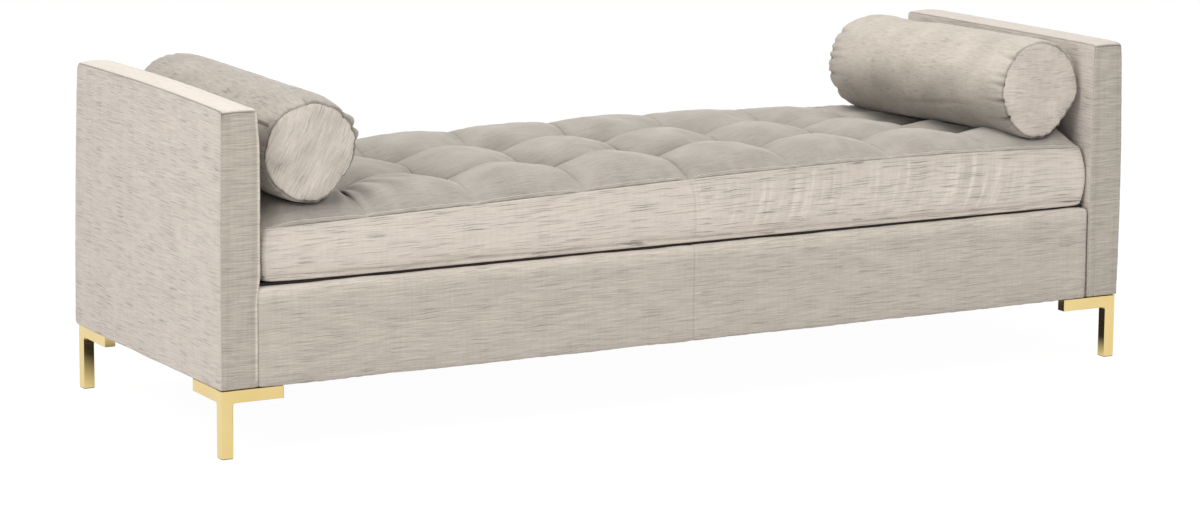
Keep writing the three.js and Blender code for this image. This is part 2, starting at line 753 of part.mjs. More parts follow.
function addBolster(bolster) {
  const core = new THREE.CylinderGeometry(bolsterCoreRadius, bolsterCoreRadius, bolsterCoreLength, 20);
  const hollowRadius = bolsterCoreRadius + fitGap;
  const hollow = new THREE.CylinderGeometry(hollowRadius, hollowRadius, bolsterCoreLength + 2 * fitGap, 20);
  const zipHalf = bolsterZipLength / 2;
  const zipLow = [bolsterCoreRadius - cutOverrun, -zipHalf, -zipSlit / 2];
  const zipHigh = [bolsterRadius + cutOverrun, zipHalf, zipSlit / 2];
  const zip = toCorner(block(zipLow, zipHigh), bolster.sign, 1);
  const cover = toGeometry(carved(toSolid(bolsterForm()), hollow, zip));
  const along = new THREE.Vector3(bolster.shift, 1, bolster.rise).normalize();
  const lie = new THREE.Quaternion().setFromUnitVectors(new THREE.Vector3(0, 1, 0), along);
  [
    addMesh(`bolster_${bolster.side}_cover`, cover, 'fabric'),
    addMesh(`bolster_${bolster.side}_core`, core, 'foam'),
  ].forEach((mesh) => {
    mesh.position.set(bolster.x, 0, bolster.z);
    mesh.quaternion.copy(lie);
  });
}

addArmFrame('left', -1);
addArmFrame('right', 1);
addArmCover('left', -1);
addArmCover('right', 1);
addSeatFrame();
addRailCover('front_rail_cover', -1);
addRailCover('back_rail_cover', 1);
addCorner('front_left', -1, -1);
addCorner('front_right', 1, -1);
addCorner('back_left', -1, 1);
addCorner('back_right', 1, 1);
addWebbing();
addDeckAndDustCover();
addCushion();
bolsters.forEach((bolster) => addBolster(bolster));

export default group;
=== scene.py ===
import math

import bmesh
import bpy
import numpy as np
from mathutils import Matrix, Vector, kdtree


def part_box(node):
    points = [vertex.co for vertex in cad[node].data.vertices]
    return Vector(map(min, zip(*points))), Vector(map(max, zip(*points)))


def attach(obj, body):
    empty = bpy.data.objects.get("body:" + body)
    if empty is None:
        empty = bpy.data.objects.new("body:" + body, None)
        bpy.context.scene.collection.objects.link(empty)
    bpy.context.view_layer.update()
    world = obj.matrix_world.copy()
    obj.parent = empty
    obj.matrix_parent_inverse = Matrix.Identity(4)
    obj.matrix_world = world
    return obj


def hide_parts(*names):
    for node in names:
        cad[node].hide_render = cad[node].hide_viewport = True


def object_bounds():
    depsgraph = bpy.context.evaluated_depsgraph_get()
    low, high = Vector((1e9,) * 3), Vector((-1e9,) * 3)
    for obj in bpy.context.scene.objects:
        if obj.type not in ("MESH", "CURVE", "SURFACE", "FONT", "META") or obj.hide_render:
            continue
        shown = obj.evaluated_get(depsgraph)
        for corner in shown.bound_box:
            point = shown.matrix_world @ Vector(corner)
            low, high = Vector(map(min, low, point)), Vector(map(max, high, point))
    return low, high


# Recamier: a long seat between two straight end panels, covered in slubbed velvet, with a tufted
# cushion, two bolsters and square gold legs. Metres; X along the seat, Y from front to back.
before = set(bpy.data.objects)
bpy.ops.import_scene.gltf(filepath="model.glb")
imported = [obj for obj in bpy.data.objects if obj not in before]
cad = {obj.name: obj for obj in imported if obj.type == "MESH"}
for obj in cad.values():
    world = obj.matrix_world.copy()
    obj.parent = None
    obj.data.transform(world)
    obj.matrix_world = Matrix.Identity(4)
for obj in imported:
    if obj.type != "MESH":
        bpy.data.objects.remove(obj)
cad_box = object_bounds()


# Timber frame: pine posts, rails and corner blocks, sawn and glued, hidden under the covers.
# The grain runs along each member, with darker bands and fine pores.
def add_node(tree, kind, links=None, **settings):
    made = tree.nodes.new(kind)
    for name, value in settings.items():
        setattr(made, name, value)
    for key, value in (links or {}).items():
        if isinstance(value, bpy.types.NodeSocket):
            tree.links.new(value, made.inputs[key])
        else:
            made.inputs[key].default_value = value
    return made


def new_group(name, inputs, outputs, kind_of_tree="ShaderNodeTree"):
    """A node group with named sockets; gives it, its inputs by name and its outputs by name."""
    group = bpy.data.node_groups.new(name, kind_of_tree)
    for label, kind, value in inputs:
        made = group.interface.new_socket(label, in_out="INPUT", socket_type=kind)
        if value is not None:
            made.default_value = value
    for label, kind in outputs:
        group.interface.new_socket(label, in_out="OUTPUT", socket_type=kind)
    given = group.nodes.new("NodeGroupInput").outputs
    return group, given, group.nodes.new("NodeGroupOutput").inputs


def noise(tree, place, scale, stretch=(1, 1, 1), detail=2, roughness=0.5):
    spread = add_node(tree, "ShaderNodeMapping", {"Vector": place, "Scale": stretch})
    cloud = add_node(tree, "ShaderNodeTexNoise",
                     {"Vector": spread.outputs[0], "Scale": scale, "Detail": detail,
                      "Roughness": roughness})
    return cloud.outputs["Fac"]


def sums(tree, operation, first, second, third=None):
    terms = {0: first, 1: second} if third is None else {0: first, 1: second, 2: third}
    return add_node(tree, "ShaderNodeMath", terms, operation=operation).outputs[0]


def between(tree, value, low, high, out_low=0, out_high=1):
    made = add_node(tree, "ShaderNodeMapRange",
                    {"Value": value, "From Min": low, "From Max": high,
                     "To Min": out_low, "To Max": out_high})
    return made.outputs[0]


def blended(tree, share, first, second, blend_type="MIX"):
    made = add_node(tree, "ShaderNodeMix", {0: share, 6: first, 7: second},
                    data_type="RGBA", blend_type=blend_type)
    return made.outputs[2]


def new_material(name, rough, **constants):
    made = bpy.data.materials.new(name)
    made.use_nodes = True
    tree = made.node_tree
    shader = tree.nodes["Principled BSDF"]
    shader.inputs["Roughness"].default_value = rough
    for label, value in constants.items():
        shader.inputs[label.replace("_", " ")].default_value = value
    return made, tree, shader


def object_place(tree):
    return tree.nodes.new("ShaderNodeTexCoord").outputs["Object"]


def relief(tree, shader, height, distance, strength=1.0):
    bump = add_node(tree, "ShaderNodeBump",
                    {"Height": height, "Distance": distance, "Strength": strength})
    tree.links.new(bump.outputs[0], shader.inputs["Normal"])


def finish_node(name, material):
    """Gives a CAD piece that stays as it is its real material."""
    mesh = cad[name].data
    mesh.materials.clear()
    mesh.materials.append(material)


grain_group, put, take = new_group(
    "sawn_grain",
    [("Place", "NodeSocketVector", None), ("Pale", "NodeSocketColor", (0.62, 0.42, 0.22, 1)),
     ("Dark", "NodeSocketColor", (0.38, 0.22, 0.1, 1))],
    [("Colour", "NodeSocketColor"), ("Height", "NodeSocketFloat")])
bands = noise(grain_group, put["Place"], 9, (1, 6, 6), detail=4, roughness=0.6)
rings = sums(grain_group, "FRACT", sums(grain_group, "MULTIPLY", bands, 9), 0)
pores = noise(grain_group, put["Place"], 260, (0.04, 1, 1), detail=3)
mixed = sums(grain_group, "MULTIPLY_ADD", rings, 0.7,
             between(grain_group, pores, 0.4, 0.75, 0, 0.4))
colour = blended(grain_group, mixed, put["Pale"], put["Dark"])
grain_group.links.new(colour, take["Colour"])
grain_group.links.new(pores, take["Height"])


def sawn_timber(name, turn):
    made, tree, shader = new_material(name, 0.72)
    place = add_node(tree, "ShaderNodeMapping", {"Vector": object_place(tree), "Rotation": turn})
    grain = add_node(tree, "ShaderNodeGroup", {"Place": place.outputs[0]}, node_tree=grain_group)
    tree.links.new(grain.outputs["Colour"], shader.inputs["Base Color"])
    relief(tree, shader, grain.outputs["Height"], 0.0004)
    return made


quarter = math.radians(90)
pine_lengthwise = sawn_timber("pine_lengthwise", (0, 0, 0))
pine_crosswise = sawn_timber("pine_crosswise", (0, 0, -quarter))
pine_upright = sawn_timber("pine_upright", (0, quarter, 0))
for side in ("left", "right"):
    finish_node(f"{side}_arm_front_post", pine_upright)
    finish_node(f"{side}_arm_back_post", pine_upright)
    finish_node(f"{side}_arm_top_rail", pine_crosswise)
    finish_node(f"{side}_end_rail", pine_crosswise)
for name in ("front_seat_rail", "back_seat_rail"):
    finish_node(name, pine_lengthwise)
for name in ("cross_rail_1", "cross_rail_2"):
    finish_node(name, pine_crosswise)
corners = ("front_left", "front_right", "back_left", "back_right")
for corner in corners:
    finish_node(f"corner_block_{corner}", pine_upright)

# Arm panels: 5 mm hardboard stapled to both faces of each arm frame, to carry the padding.
# Brown pressed fibre with a mottled face.
hardboard, tree, shader = new_material("hardboard", 0.8)
fibres = noise(tree, object_place(tree), 420, detail=5, roughness=0.7)
blotches = noise(tree, object_place(tree), 22, detail=3)
ground = blended(tree, blotches, (0.2, 0.11, 0.055, 1), (0.3, 0.18, 0.09, 1))
flecked = blended(tree, between(tree, fibres, 0.55, 0.75, 0, 0.6), ground, (0.42, 0.29, 0.17, 1))
tree.links.new(flecked, shader.inputs["Base Color"])
relief(tree, shader, fibres, 0.0002)
for side in ("left", "right"):
    finish_node(f"{side}_arm_outer_panel", hardboard)
    finish_node(f"{side}_arm_inner_panel", hardboard)

# Webbing: seven cross and three long elastic straps, woven over and under each other and stapled
# to the rails. Dark herringbone tape, 60 mm wide and 2 mm thick, with ribbed edges.
def ripple(points, wavelength, seed, waves=14):
    """Smooth unevenness between about -1 and 1, the same at every run."""
    chance = np.random.default_rng(seed)
    total = np.zeros(len(points))
    for _ in range(waves):
        heading = chance.normal(size=points.shape[1])
        heading /= np.linalg.norm(heading)
        length = wavelength * chance.uniform(0.7, 1.6)
        total += np.sin(points @ heading * math.tau / length + chance.uniform(0, math.tau))
    return total / math.sqrt(waves)


def new_piece(name, points, faces, materials, kinds=None, places=None, shade=None):
    """A smooth mesh. places are cloth coordinates in metres for each corner of each face."""
    mesh = bpy.data.meshes.new(name)
    if isinstance(faces, np.ndarray):
        faces = faces.tolist()
    mesh.from_pydata(np.asarray(points).tolist(), [], faces)
    for material in materials:
        mesh.materials.append(material)
    mesh.polygons.foreach_set("use_smooth", np.ones(len(mesh.polygons), bool))
    if kinds is not None:
        mesh.polygons.foreach_set("material_index", np.asarray(kinds, np.int32))
    if places is not None:
        layer = mesh.uv_layers.new(name="cloth")
        layer.uv.foreach_set("vector", np.asarray(places, np.float32).ravel())
    if shade is not None:
        marks = mesh.attributes.new("shade", "FLOAT", "POINT")
        marks.data.foreach_set("value", np.asarray(shade, np.float32))
    mesh.validate()
    mesh.update()
    made = bpy.data.objects.new(name, mesh)
    bpy.context.scene.collection.objects.link(made)
    return made


def cloth_place(tree):
    return add_node(tree, "ShaderNodeUVMap", uv_map="cloth").outputs[0]


tape, tree, shader = new_material("elastic_tape", 0.85)
place = cloth_place(tree)
ribs = add_node(tree, "ShaderNodeTexWave", {"Vector": place, "Scale": 90.0, "Distortion": 0.6},
                bands_direction="Y")
chevrons = add_node(tree, "ShaderNodeTexWave", {"Vector": place, "Scale": 60.0, "Distortion": 2.0},
                    bands_direction="DIAGONAL")
woven = sums(tree, "MULTIPLY", ribs.outputs["Fac"], chevrons.outputs["Fac"])
tone = blended(tree, woven, (0.022, 0.018, 0.015, 1), (0.085, 0.07, 0.058, 1))
tree.links.new(tone, shader.inputs["Base Color"])
relief(tree, shader, woven, 0.0006)


def strap_skin(line, side, along_x, width, thickness):
    """A ribbon over a centre line of (run, level), closed at its ends."""
    points, faces, places = [], [], []
    across = np.linspace(-width / 2, width / 2, 9)
    ring = [(a, 1) for a in across] + [(a, -1) for a in across[::-1]]
    for run, level in line:
        for a, face in ring:
            rise = level + face * thickness / 2 * (1 if abs(a) < width * selvedge_share else 0.5)
            points.append((run, side + a, rise) if along_x else (side - a, run, rise))
    size = len(ring)
    for step in range(len(line) - 1):
        for at in range(size):
            after = (at + 1) % size
            faces.append((step * size + at, (step + 1) * size + at,
                          (step + 1) * size + after, step * size + after))
            for s, r in ((step, at), (step + 1, at), (step + 1, after), (step, after)):
                places.append((line[s][0], ring[r][0]))
    for end in (0, len(line) - 1):
        loop = [end * size + at for at in range(size)]
        faces.append(loop if end == 0 else loop[::-1])
        places.extend((line[end][0], ring[at][0]) for at in (range(size) if end == 0
                                                              else reversed(range(size))))
    return points, faces, places


strap_width, strap_thickness, weave_rise = 0.060, 0.0018, 0.00115
strap_steps, selvedge_share = 121, 0.49
strap_names = [f"cross_strap_{n}" for n in range(1, 8)] + [f"long_strap_{n}" for n in range(1, 4)]
cross_at = [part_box(f"cross_strap_{n}") for n in range(1, 8)]
long_at = [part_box(f"long_strap_{n}") for n in range(1, 4)]
cross_middles = [(low.x + high.x) / 2 for low, high in cross_at]
long_middles = [(low.y + high.y) / 2 for low, high in long_at]
strap_level = (cross_at[0][0].z + cross_at[0][1].z) / 2


def over_and_under(low, high, crossings, first_up):
    """Centre line of a strap that passes over one strap and under the next."""
    runs = np.linspace(low, high, strap_steps)
    level = np.zeros(len(runs))
    for index, middle in enumerate(crossings):
        near = np.clip(1.6 - np.abs(runs - middle) / (strap_width * 0.62), 0, 1)
        sign = 1 if (index % 2 == 0) == first_up else -1
        level += sign * weave_rise * (near * near * (3 - 2 * near))
    return list(zip(runs, strap_level + level))


points, faces, places = [], [], []
for axis, boxes, middles, crossings in ((1, cross_at, cross_middles, long_middles),
                                        (0, long_at, long_middles, cross_middles)):
    for index, (low, high) in enumerate(boxes):
        line = over_and_under(low[axis], high[axis], crossings, index % 2 != axis)
        strap = strap_skin(line, middles[index], axis == 0, strap_width, strap_thickness)
        faces += [[at + len(points) for at in face] for face in strap[1]]
        points += strap[0]
        places += strap[2]
webbing = new_piece("webbing", points, faces, [tape], places=places)
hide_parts(*strap_names)
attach(webbing, "frame")

# Dust cover: one sheet of black non-woven cloth, stretched under the frame and held by staples
# round its edge. It hangs a few millimetres slack between the cross rails.
dust_low, dust_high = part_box("dust_cover")
dust_slack, slack_reach, dust_thickness, staple_pitch = 0.0022, 0.09, 0.0012, 0.028
runs = np.linspace(dust_low.x, dust_high.x, 197)
rows = np.linspace(dust_low.y, dust_high.y, 65)
x, y = (grid.ravel() for grid in np.meshgrid(runs, rows, indexing="ij"))
inside = np.minimum(1, np.minimum(dust_high.x - np.abs(x), dust_high.y - np.abs(y)) / slack_reach)
slack = np.sin(inside * math.pi / 2)
flat_place = np.stack([x, y], 1)
level = dust_high.z - dust_thickness / 2
level -= slack * (dust_slack + 0.0008 * ripple(flat_place, 0.16, 5))
level -= 0.0005 * (1 - slack) * np.abs(np.sin(x * math.pi / staple_pitch)) * (inside > 0)
dust_points = np.stack([x, y, level], 1)
index = np.arange(len(runs) * len(rows)).reshape(len(runs), len(rows))
dust_faces = np.stack([index[:-1, :-1], index[1:, :-1], index[1:, 1:], index[:-1, 1:]],
                      2).reshape(-1, 4)
dust_cloth, tree, shader = new_material("dust_cloth", 0.9)
place = cloth_place(tree)
bonds = add_node(tree, "ShaderNodeTexVoronoi", {"Vector": place, "Scale": 420.0,
                                                "Randomness": 0.35})
strands = noise(tree, place, 900, detail=3, roughness=0.7)
matted = sums(tree, "MULTIPLY", bonds.outputs["Distance"], strands)
tone = blended(tree, between(tree, matted, 0.1, 0.45), (0.008, 0.008, 0.009, 1),
               (0.035, 0.035, 0.038, 1))
tree.links.new(tone, shader.inputs["Base Color"])
relief(tree, shader, matted, 0.0003)
dust_sheet = new_piece("dust_sheet", dust_points, dust_faces, [dust_cloth],
                       places=flat_place[dust_faces.ravel()])
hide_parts("dust_cover")
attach(dust_sheet, "frame")


# Staples: galvanised wire, 10 mm wide, driven every 28 mm through the dust cover's edge into the
# frame. Only their crowns show, flat against the cloth.
def grown(name, source, tree, values):
    """The mesh that a Geometry Nodes tree makes on a source object, which is then removed."""
    modifier = source.modifiers.new(name, "NODES")
    modifier.node_group = tree
    for item in tree.interface.items_tree:
        if item.item_type == "SOCKET" and item.in_out == "INPUT" and item.name in values:
            modifier[item.identifier] = values[item.name]
    bpy.context.view_layer.update()
    seen = source.evaluated_get(bpy.context.evaluated_depsgraph_get())
    mesh = bpy.data.meshes.new_from_object(seen)
    mesh.name = name
    source.modifiers.remove(modifier)
    bpy.data.objects.remove(source)
    made = bpy.data.objects.new(name, mesh)
    bpy.context.scene.collection.objects.link(made)
    return made


def path_piece(name, paths):
    """Open poly lines through lists of points, as the source of a tree."""
    curve = bpy.data.curves.new(name, "CURVE")
    curve.dimensions = "3D"
    for path in paths:
        line = curve.splines.new("POLY")
        line.points.add(len(path) - 1)
        for point, spot in zip(line.points, path):
            point.co = (*spot, 1)
    made = bpy.data.objects.new(name, curve)
    bpy.context.scene.collection.objects.link(made)
    return made


# Each stitch or staple is a short round bar, set along a path with its length on the path.
bar_tree, put, take = new_group(
    "bars_along_a_path",
    [("Path", "NodeSocketGeometry", None), ("Pitch", "NodeSocketFloat", 0.028),
     ("Bar Length", "NodeSocketFloat", 0.01), ("Bar Radius", "NodeSocketFloat", 0.0005),
     ("Finish", "NodeSocketMaterial", None), ("Wander", "NodeSocketFloat", 0.0),
     ("Seed", "NodeSocketInt", 3)],
    [("Geometry", "NodeSocketGeometry")], "GeometryNodeTree")
spaced = add_node(bar_tree, "GeometryNodeResampleCurve",
                  {"Curve": put["Path"], "Length": put["Pitch"]}, mode="LENGTH")
spots = add_node(bar_tree, "GeometryNodeCurveToPoints", {"Curve": spaced.outputs[0]},
                 mode="EVALUATED")
reach = add_node(bar_tree, "ShaderNodeCombineXYZ", {"Z": put["Wander"]})
back = add_node(bar_tree, "ShaderNodeVectorMath", {0: reach.outputs[0], "Scale": -1.0},
                operation="SCALE")
stray = add_node(bar_tree, "FunctionNodeRandomValue", data_type="FLOAT_VECTOR")
bar_tree.links.new(back.outputs[0], stray.inputs[0])
bar_tree.links.new(reach.outputs[0], stray.inputs[1])
bar_tree.links.new(put["Seed"], stray.inputs["Seed"])
moved = add_node(bar_tree, "GeometryNodeSetPosition",
                 {"Geometry": spots.outputs["Points"], "Offset": stray.outputs[0]})
rod = add_node(bar_tree, "GeometryNodeMeshCylinder",
               {"Vertices": 6, "Radius": put["Bar Radius"], "Depth": put["Bar Length"]})
placed = add_node(bar_tree, "GeometryNodeInstanceOnPoints",
                  {"Points": moved.outputs[0], "Instance": rod.outputs["Mesh"],
                   "Rotation": spots.outputs["Rotation"]})
real = add_node(bar_tree, "GeometryNodeRealizeInstances", {"Geometry": placed.outputs[0]})
painted = add_node(bar_tree, "GeometryNodeSetMaterial",
                   {"Geometry": real.outputs[0], "Material": put["Finish"]})
bar_tree.links.new(painted.outputs[0], take["Geometry"])

galvanised, tree, shader = new_material("galvanised_wire", 0.42, Metallic=1.0)
spangle = noise(tree, object_place(tree), 1400, detail=3)
tree.links.new(blended(tree, spangle, (0.5, 0.51, 0.53, 1), (0.72, 0.73, 0.75, 1)),
               shader.inputs["Base Color"])
staple_inset, staple_depth = 0.007, 0.0016
edge_x, edge_y = dust_high.x - staple_inset, dust_high.y - staple_inset
staple_level = dust_high.z - staple_depth
outline = [(-edge_x, -edge_y, staple_level), (edge_x, -edge_y, staple_level),
           (edge_x, edge_y, staple_level), (-edge_x, edge_y, staple_level),
           (-edge_x, -edge_y, staple_level)]
staples = grown("dust_cover_staples", path_piece("staple_line", [outline]), bar_tree,
                {"Pitch": staple_pitch, "Bar Length": 0.010, "Bar Radius": 0.0006,
                 "Finish": galvanised})
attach(staples, "frame")


# Deck pad: needle-punched dark grey felt over the webbing, bound at its edge. It shows when the
# cushion is lifted. Its near-black tone is partly painted shade: at rest it shows as a dark line
# under the cushion.
def stops(low, high, pitch, near=(), also=()):
    """Places along one side of a box: close together at both ends, even between, with extras."""
    start, end = low + (near[-1] if near else 0), high - (near[-1] if near else 0)
    even = np.linspace(start, end, max(2, round((end - start) / pitch) + 1))
    for place in also:
        if start < place < end:
            even[np.argmin(np.abs(even - place))] = place
    tight = [value for offset in near[:-1] for value in (low + offset, high - offset)]
    return np.unique(np.round(np.concatenate([[low, high], tight, even]), 7))


floor_wall, top_wall = 4, 5


def box_skin(lines):
    """Grid indices of the faces of a divided box, and the wall that each is on."""
    counts = [len(line) for line in lines]
    faces, walls = [], []
    for axis in range(3):
        first, second = (axis + 1) % 3, (axis + 2) % 3
        a, b = np.meshgrid(np.arange(counts[first] - 1), np.arange(counts[second] - 1),
                           indexing="ij")
        for end in (0, counts[axis] - 1):
            corner = np.zeros((a.size, 4, 3), int)
            for at, (step_a, step_b) in enumerate(((0, 0), (1, 0), (1, 1), (0, 1))):
                corner[:, at, axis] = end
                corner[:, at, first] = a.ravel() + step_a
                corner[:, at, second] = b.ravel() + step_b
            faces.append(corner if end else corner[:, ::-1])
            walls.append(np.full(a.size, 2 * axis + (1 if end else 0)))
    return np.concatenate(faces), np.concatenate(walls)


def gathered(faces, lines):
    """Points and index faces from grid indices, each point once."""
    key = (faces[..., 0] * len(lines[1]) + faces[..., 1]) * len(lines[2]) + faces[..., 2]
    used, first, back = np.unique(key.ravel(), return_index=True, return_inverse=True)
    spots = faces.reshape(-1, 3)[first]
    points = np.stack([np.asarray(lines[axis])[spots[:, axis]] for axis in range(3)], 1)
    return points, back.reshape(faces.shape[:2])


def wall_places(points, faces, walls):
    """Cloth coordinates of each face corner, with the slubs level on the upright walls."""
    spot = points[faces]
    axis = (walls // 2)[:, None]
    across = np.where(axis == 0, spot[..., 1], spot[..., 0])
    up = np.where(axis == 2, spot[..., 1], spot[..., 2])
    return np.stack([across, up], 2).reshape(-1, 2)


def rounded(points, low, high, radius):
    """Points of a sharp box moved to one with rounded edges, and the way each point faces."""
    core = np.clip(points, low + radius, high - radius)
    away = points - core
    facing = away / np.maximum(np.linalg.norm(away, axis=1), 1e-9)[:, None]
    return core + facing * radius, facing


felt, tree, shader = new_material("deck_felt", 0.95)
place = object_place(tree)
tufts = noise(tree, place, 1100, detail=4, roughness=0.75)
drifts = noise(tree, place, 35, (1, 0.5, 1), detail=4)
tone = blended(tree, between(tree, tufts, 0.3, 0.7), (0.014, 0.013, 0.0125, 1),
               (0.045, 0.042, 0.04, 1))
tone = blended(tree, between(tree, drifts, 0.3, 0.7, 0, 0.25), tone, (0.07, 0.064, 0.06, 1))
tree.links.new(tone, shader.inputs["Base Color"])
relief(tree, shader, tufts, 0.0006)
pad_low, pad_high = (np.array(corner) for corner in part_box("deck_pad"))
pad_lines = [stops(pad_low[0], pad_high[0], 0.016, (0.001, 0.003, 0.007)),
             stops(pad_low[1], pad_high[1], 0.016, (0.001, 0.003, 0.007)),
             stops(pad_low[2], pad_high[2], 0.003, (0.001, 0.003))]
faces, walls = box_skin(pad_lines)
points, faces = gathered(faces, pad_lines)
points, facing = rounded(points, pad_low, pad_high, 0.003)
inner = np.minimum(pad_high[0] - np.abs(points[:, 0]), pad_high[1] - np.abs(points[:, 1]))
points[:, 2] += facing[:, 2] * (0.0004 * ripple(points[:, :2], 0.07, 11) - 0.0005) * (inner > 0)
deck = new_piece("deck_pad_felt", points, faces, [felt])
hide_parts("deck_pad")
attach(deck, "frame")

# Arm covers: slubbed velvet sewn over 11 mm of padding, one for each end panel. Side panels, a
# crowned band on top and boxing strips at the ends meet in plain seams; the foot is turned under.
velvet_group, put, take = new_group(
    "slubbed_velvet",
    [("Place", "NodeSocketVector", None), ("Ground", "NodeSocketColor", (0.5, 0.45, 0.4, 1)),
     ("Slub Length", "NodeSocketFloat", 0.012), ("Slub Height", "NodeSocketFloat", 0.0022),
     ("Slub Depth", "NodeSocketFloat", 0.3), ("Weave", "NodeSocketFloat", 0.1),
     ("Patches", "NodeSocketFloat", 0.1), ("Shade", "NodeSocketFloat", 1.0),
     ("Gathers", "NodeSocketFloat", 0.0)],
    [("Colour", "NodeSocketColor"), ("Roughness", "NodeSocketFloat"),
     ("Height", "NodeSocketFloat")])


def stretched_noise(tree, place, length, height, detail, seed):
    """Cloudy streaks with their length along the slubs."""
    lengthwise = sums(tree, "DIVIDE", 1.0, length)
    crosswise = sums(tree, "DIVIDE", 1.0, height)
    scale = add_node(tree, "ShaderNodeCombineXYZ", {0: lengthwise, 1: crosswise, 2: 1.0})
    spread = add_node(tree, "ShaderNodeVectorMath", {0: place, 1: scale.outputs[0]},
                      operation="MULTIPLY")
    moved = add_node(tree, "ShaderNodeVectorMath",
                     {0: spread.outputs[0], 1: (seed, seed * 2.7, seed * 0.3)}, operation="ADD")
    cloud = add_node(tree, "ShaderNodeTexNoise",
                     {"Vector": moved.outputs[0], "Scale": 1.0, "Detail": detail,
                      "Roughness": 0.6})
    return cloud.outputs["Fac"]


tree = velvet_group
sway = noise(tree, put["Place"], 28, (1, 0.6, 1), detail=1)
sway = add_node(tree, "ShaderNodeCombineXYZ",
                {1: sums(tree, "MULTIPLY", sums(tree, "SUBTRACT", sway, 0.5), 0.0035)})
woven_place = add_node(tree, "ShaderNodeVectorMath", {0: put["Place"], 1: sway.outputs[0]},
                       operation="ADD").outputs[0]
slubs = between(tree, stretched_noise(tree, woven_place, put["Slub Length"], put["Slub Height"],
                                      0.0, 3.1), 0.65, 0.69)
threads = stretched_noise(tree, woven_place, sums(tree, "MULTIPLY", put["Slub Length"], 0.8),
                          sums(tree, "MULTIPLY", put["Slub Height"], 0.6), 1.5, 8.7)
warp = stretched_noise(tree, put["Place"], 0.006, 0.07, 1.5, 17.3)
pile = noise(tree, put["Place"], 330, detail=3, roughness=0.7)
rows_of_pile = stretched_noise(tree, put["Place"], 0.0045, 0.0011, 2, 5.3)
patches = noise(tree, put["Place"], 17, (0.7, 1, 1), detail=4, roughness=0.55)
slubs = sums(tree, "MULTIPLY", slubs, between(tree, patches, 0.36, 0.6, 1.25, 0.55))
dark = sums(tree, "SUBTRACT", 1.0, sums(tree, "MULTIPLY", slubs, put["Slub Depth"]))
weft = between(tree, threads, 0.3, 0.7, -1, 1)
crossed = sums(tree, "ADD", weft, between(tree, warp, 0.35, 0.7, -0.12, 0.24))
lined = sums(tree, "MULTIPLY_ADD", crossed, put["Weave"], 1.0)
mottled = between(tree, pile, 0.25, 0.75, 0.955, 1.045)
ribbed = between(tree, rows_of_pile, 0.3, 0.7, 0.965, 1.035)
# Gathers: narrow upright pleats that lean over and curve towards their lower ends, with a painted
# highlight on their ridges and painted shade in their valleys.
along = add_node(tree, "ShaderNodeSeparateXYZ", {0: put["Place"]})
bend = sums(tree, "MULTIPLY", along.outputs[1], sums(
    tree, "SUBTRACT", sums(tree, "MULTIPLY", along.outputs[1], 1.66), 0.43))
leaning = add_node(tree, "ShaderNodeCombineXYZ",
                   {0: sums(tree, "ADD", along.outputs[0], bend), 1: along.outputs[1]})
folds = stretched_noise(tree, leaning.outputs[0], 0.017, 0.22, 1.0, 23.9)
ridges = between(tree, folds, 0.5, 0.68)
valleys = between(tree, folds, 0.5, 0.42)
painted_pleat_shading = sums(tree, "SUBTRACT", sums(tree, "MULTIPLY", ridges, 0.13),
               sums(tree, "MULTIPLY", valleys, 0.05))
pleat_shading_factor = sums(tree, "MULTIPLY_ADD", painted_pleat_shading, put["Gathers"], 1.0)
drift = sums(tree, "SUBTRACT", patches, 0.5)
brushed = sums(tree, "MULTIPLY_ADD", drift, put["Patches"], 1.0)
factor = sums(tree, "MULTIPLY", sums(tree, "MULTIPLY", dark, lined),
              sums(tree, "MULTIPLY", mottled, ribbed))
factor = sums(tree, "MULTIPLY", sums(tree, "MULTIPLY", factor, brushed), put["Shade"])
factor = sums(tree, "MULTIPLY", factor, pleat_shading_factor)
toned = add_node(tree, "ShaderNodeVectorMath", {0: put["Ground"], "Scale": factor},
                 operation="SCALE")
tree.links.new(toned.outputs[0], take["Colour"])
tree.links.new(between(tree, patches, 0.3, 0.7, 0.74, 0.88), take["Roughness"])
weave = sums(tree, "ADD", sums(tree, "MULTIPLY", threads, 0.6),
             sums(tree, "MULTIPLY", rows_of_pile, 0.5))
height = sums(tree, "SUBTRACT", weave, sums(tree, "MULTIPLY", slubs, 0.7))
height = sums(tree, "ADD", height, sums(tree, "MULTIPLY", sums(tree, "MULTIPLY", ridges, 2.0),
                                        put["Gathers"]))
tree.links.new(height, take["Height"])


def velvet(name, ground, depth, length, height, weave, patches, turn=0.0, sheen=0.25,
           occlusion_shade_within=0.0):
    """Velvet whose slubs have this depth of tone, length and height, turned on the cloth."""
    made, tree, shader = new_material(name, 0.8, Sheen_Weight=sheen, Sheen_Roughness=0.45,
                                      Specular_IOR_Level=0.2)
    shader.inputs["Sheen Tint"].default_value = (1.0, 0.96, 0.92, 1)
    place = add_node(tree, "ShaderNodeMapping", {"Vector": cloth_place(tree),
                                                 "Rotation": (0, 0, turn)}).outputs[0]
    shade, gathers = (
        add_node(tree, "ShaderNodeAttribute", attribute_name=label).outputs["Fac"]
        for label in ("shade", "gathers"))
    if occlusion_shade_within:
        # Painted contact shade: ambient occlusion darkens the cloth's colour where something lies
        # close over it, and the dark goes when that is lifted.
        openness = add_node(tree, "ShaderNodeAmbientOcclusion", {"Distance": occlusion_shade_within},
                            samples=12)
        shade = sums(tree, "MULTIPLY", shade,
                     between(tree, openness.outputs["AO"], 0.06, 0.42, 0.04, 1.0))
    cloth = add_node(tree, "ShaderNodeGroup",
                     {"Place": place, "Ground": ground, "Slub Depth": depth,
                      "Slub Length": length, "Slub Height": height, "Weave": weave,
                      "Patches": patches, "Shade": shade, "Gathers": gathers},
                     node_tree=velvet_group)
    tree.links.new(cloth.outputs["Colour"], shader.inputs["Base Color"])
    tree.links.new(cloth.outputs["Roughness"], shader.inputs["Roughness"])
    relief(tree, shader, cloth.outputs["Height"], 0.0007, 0.6)
    return made
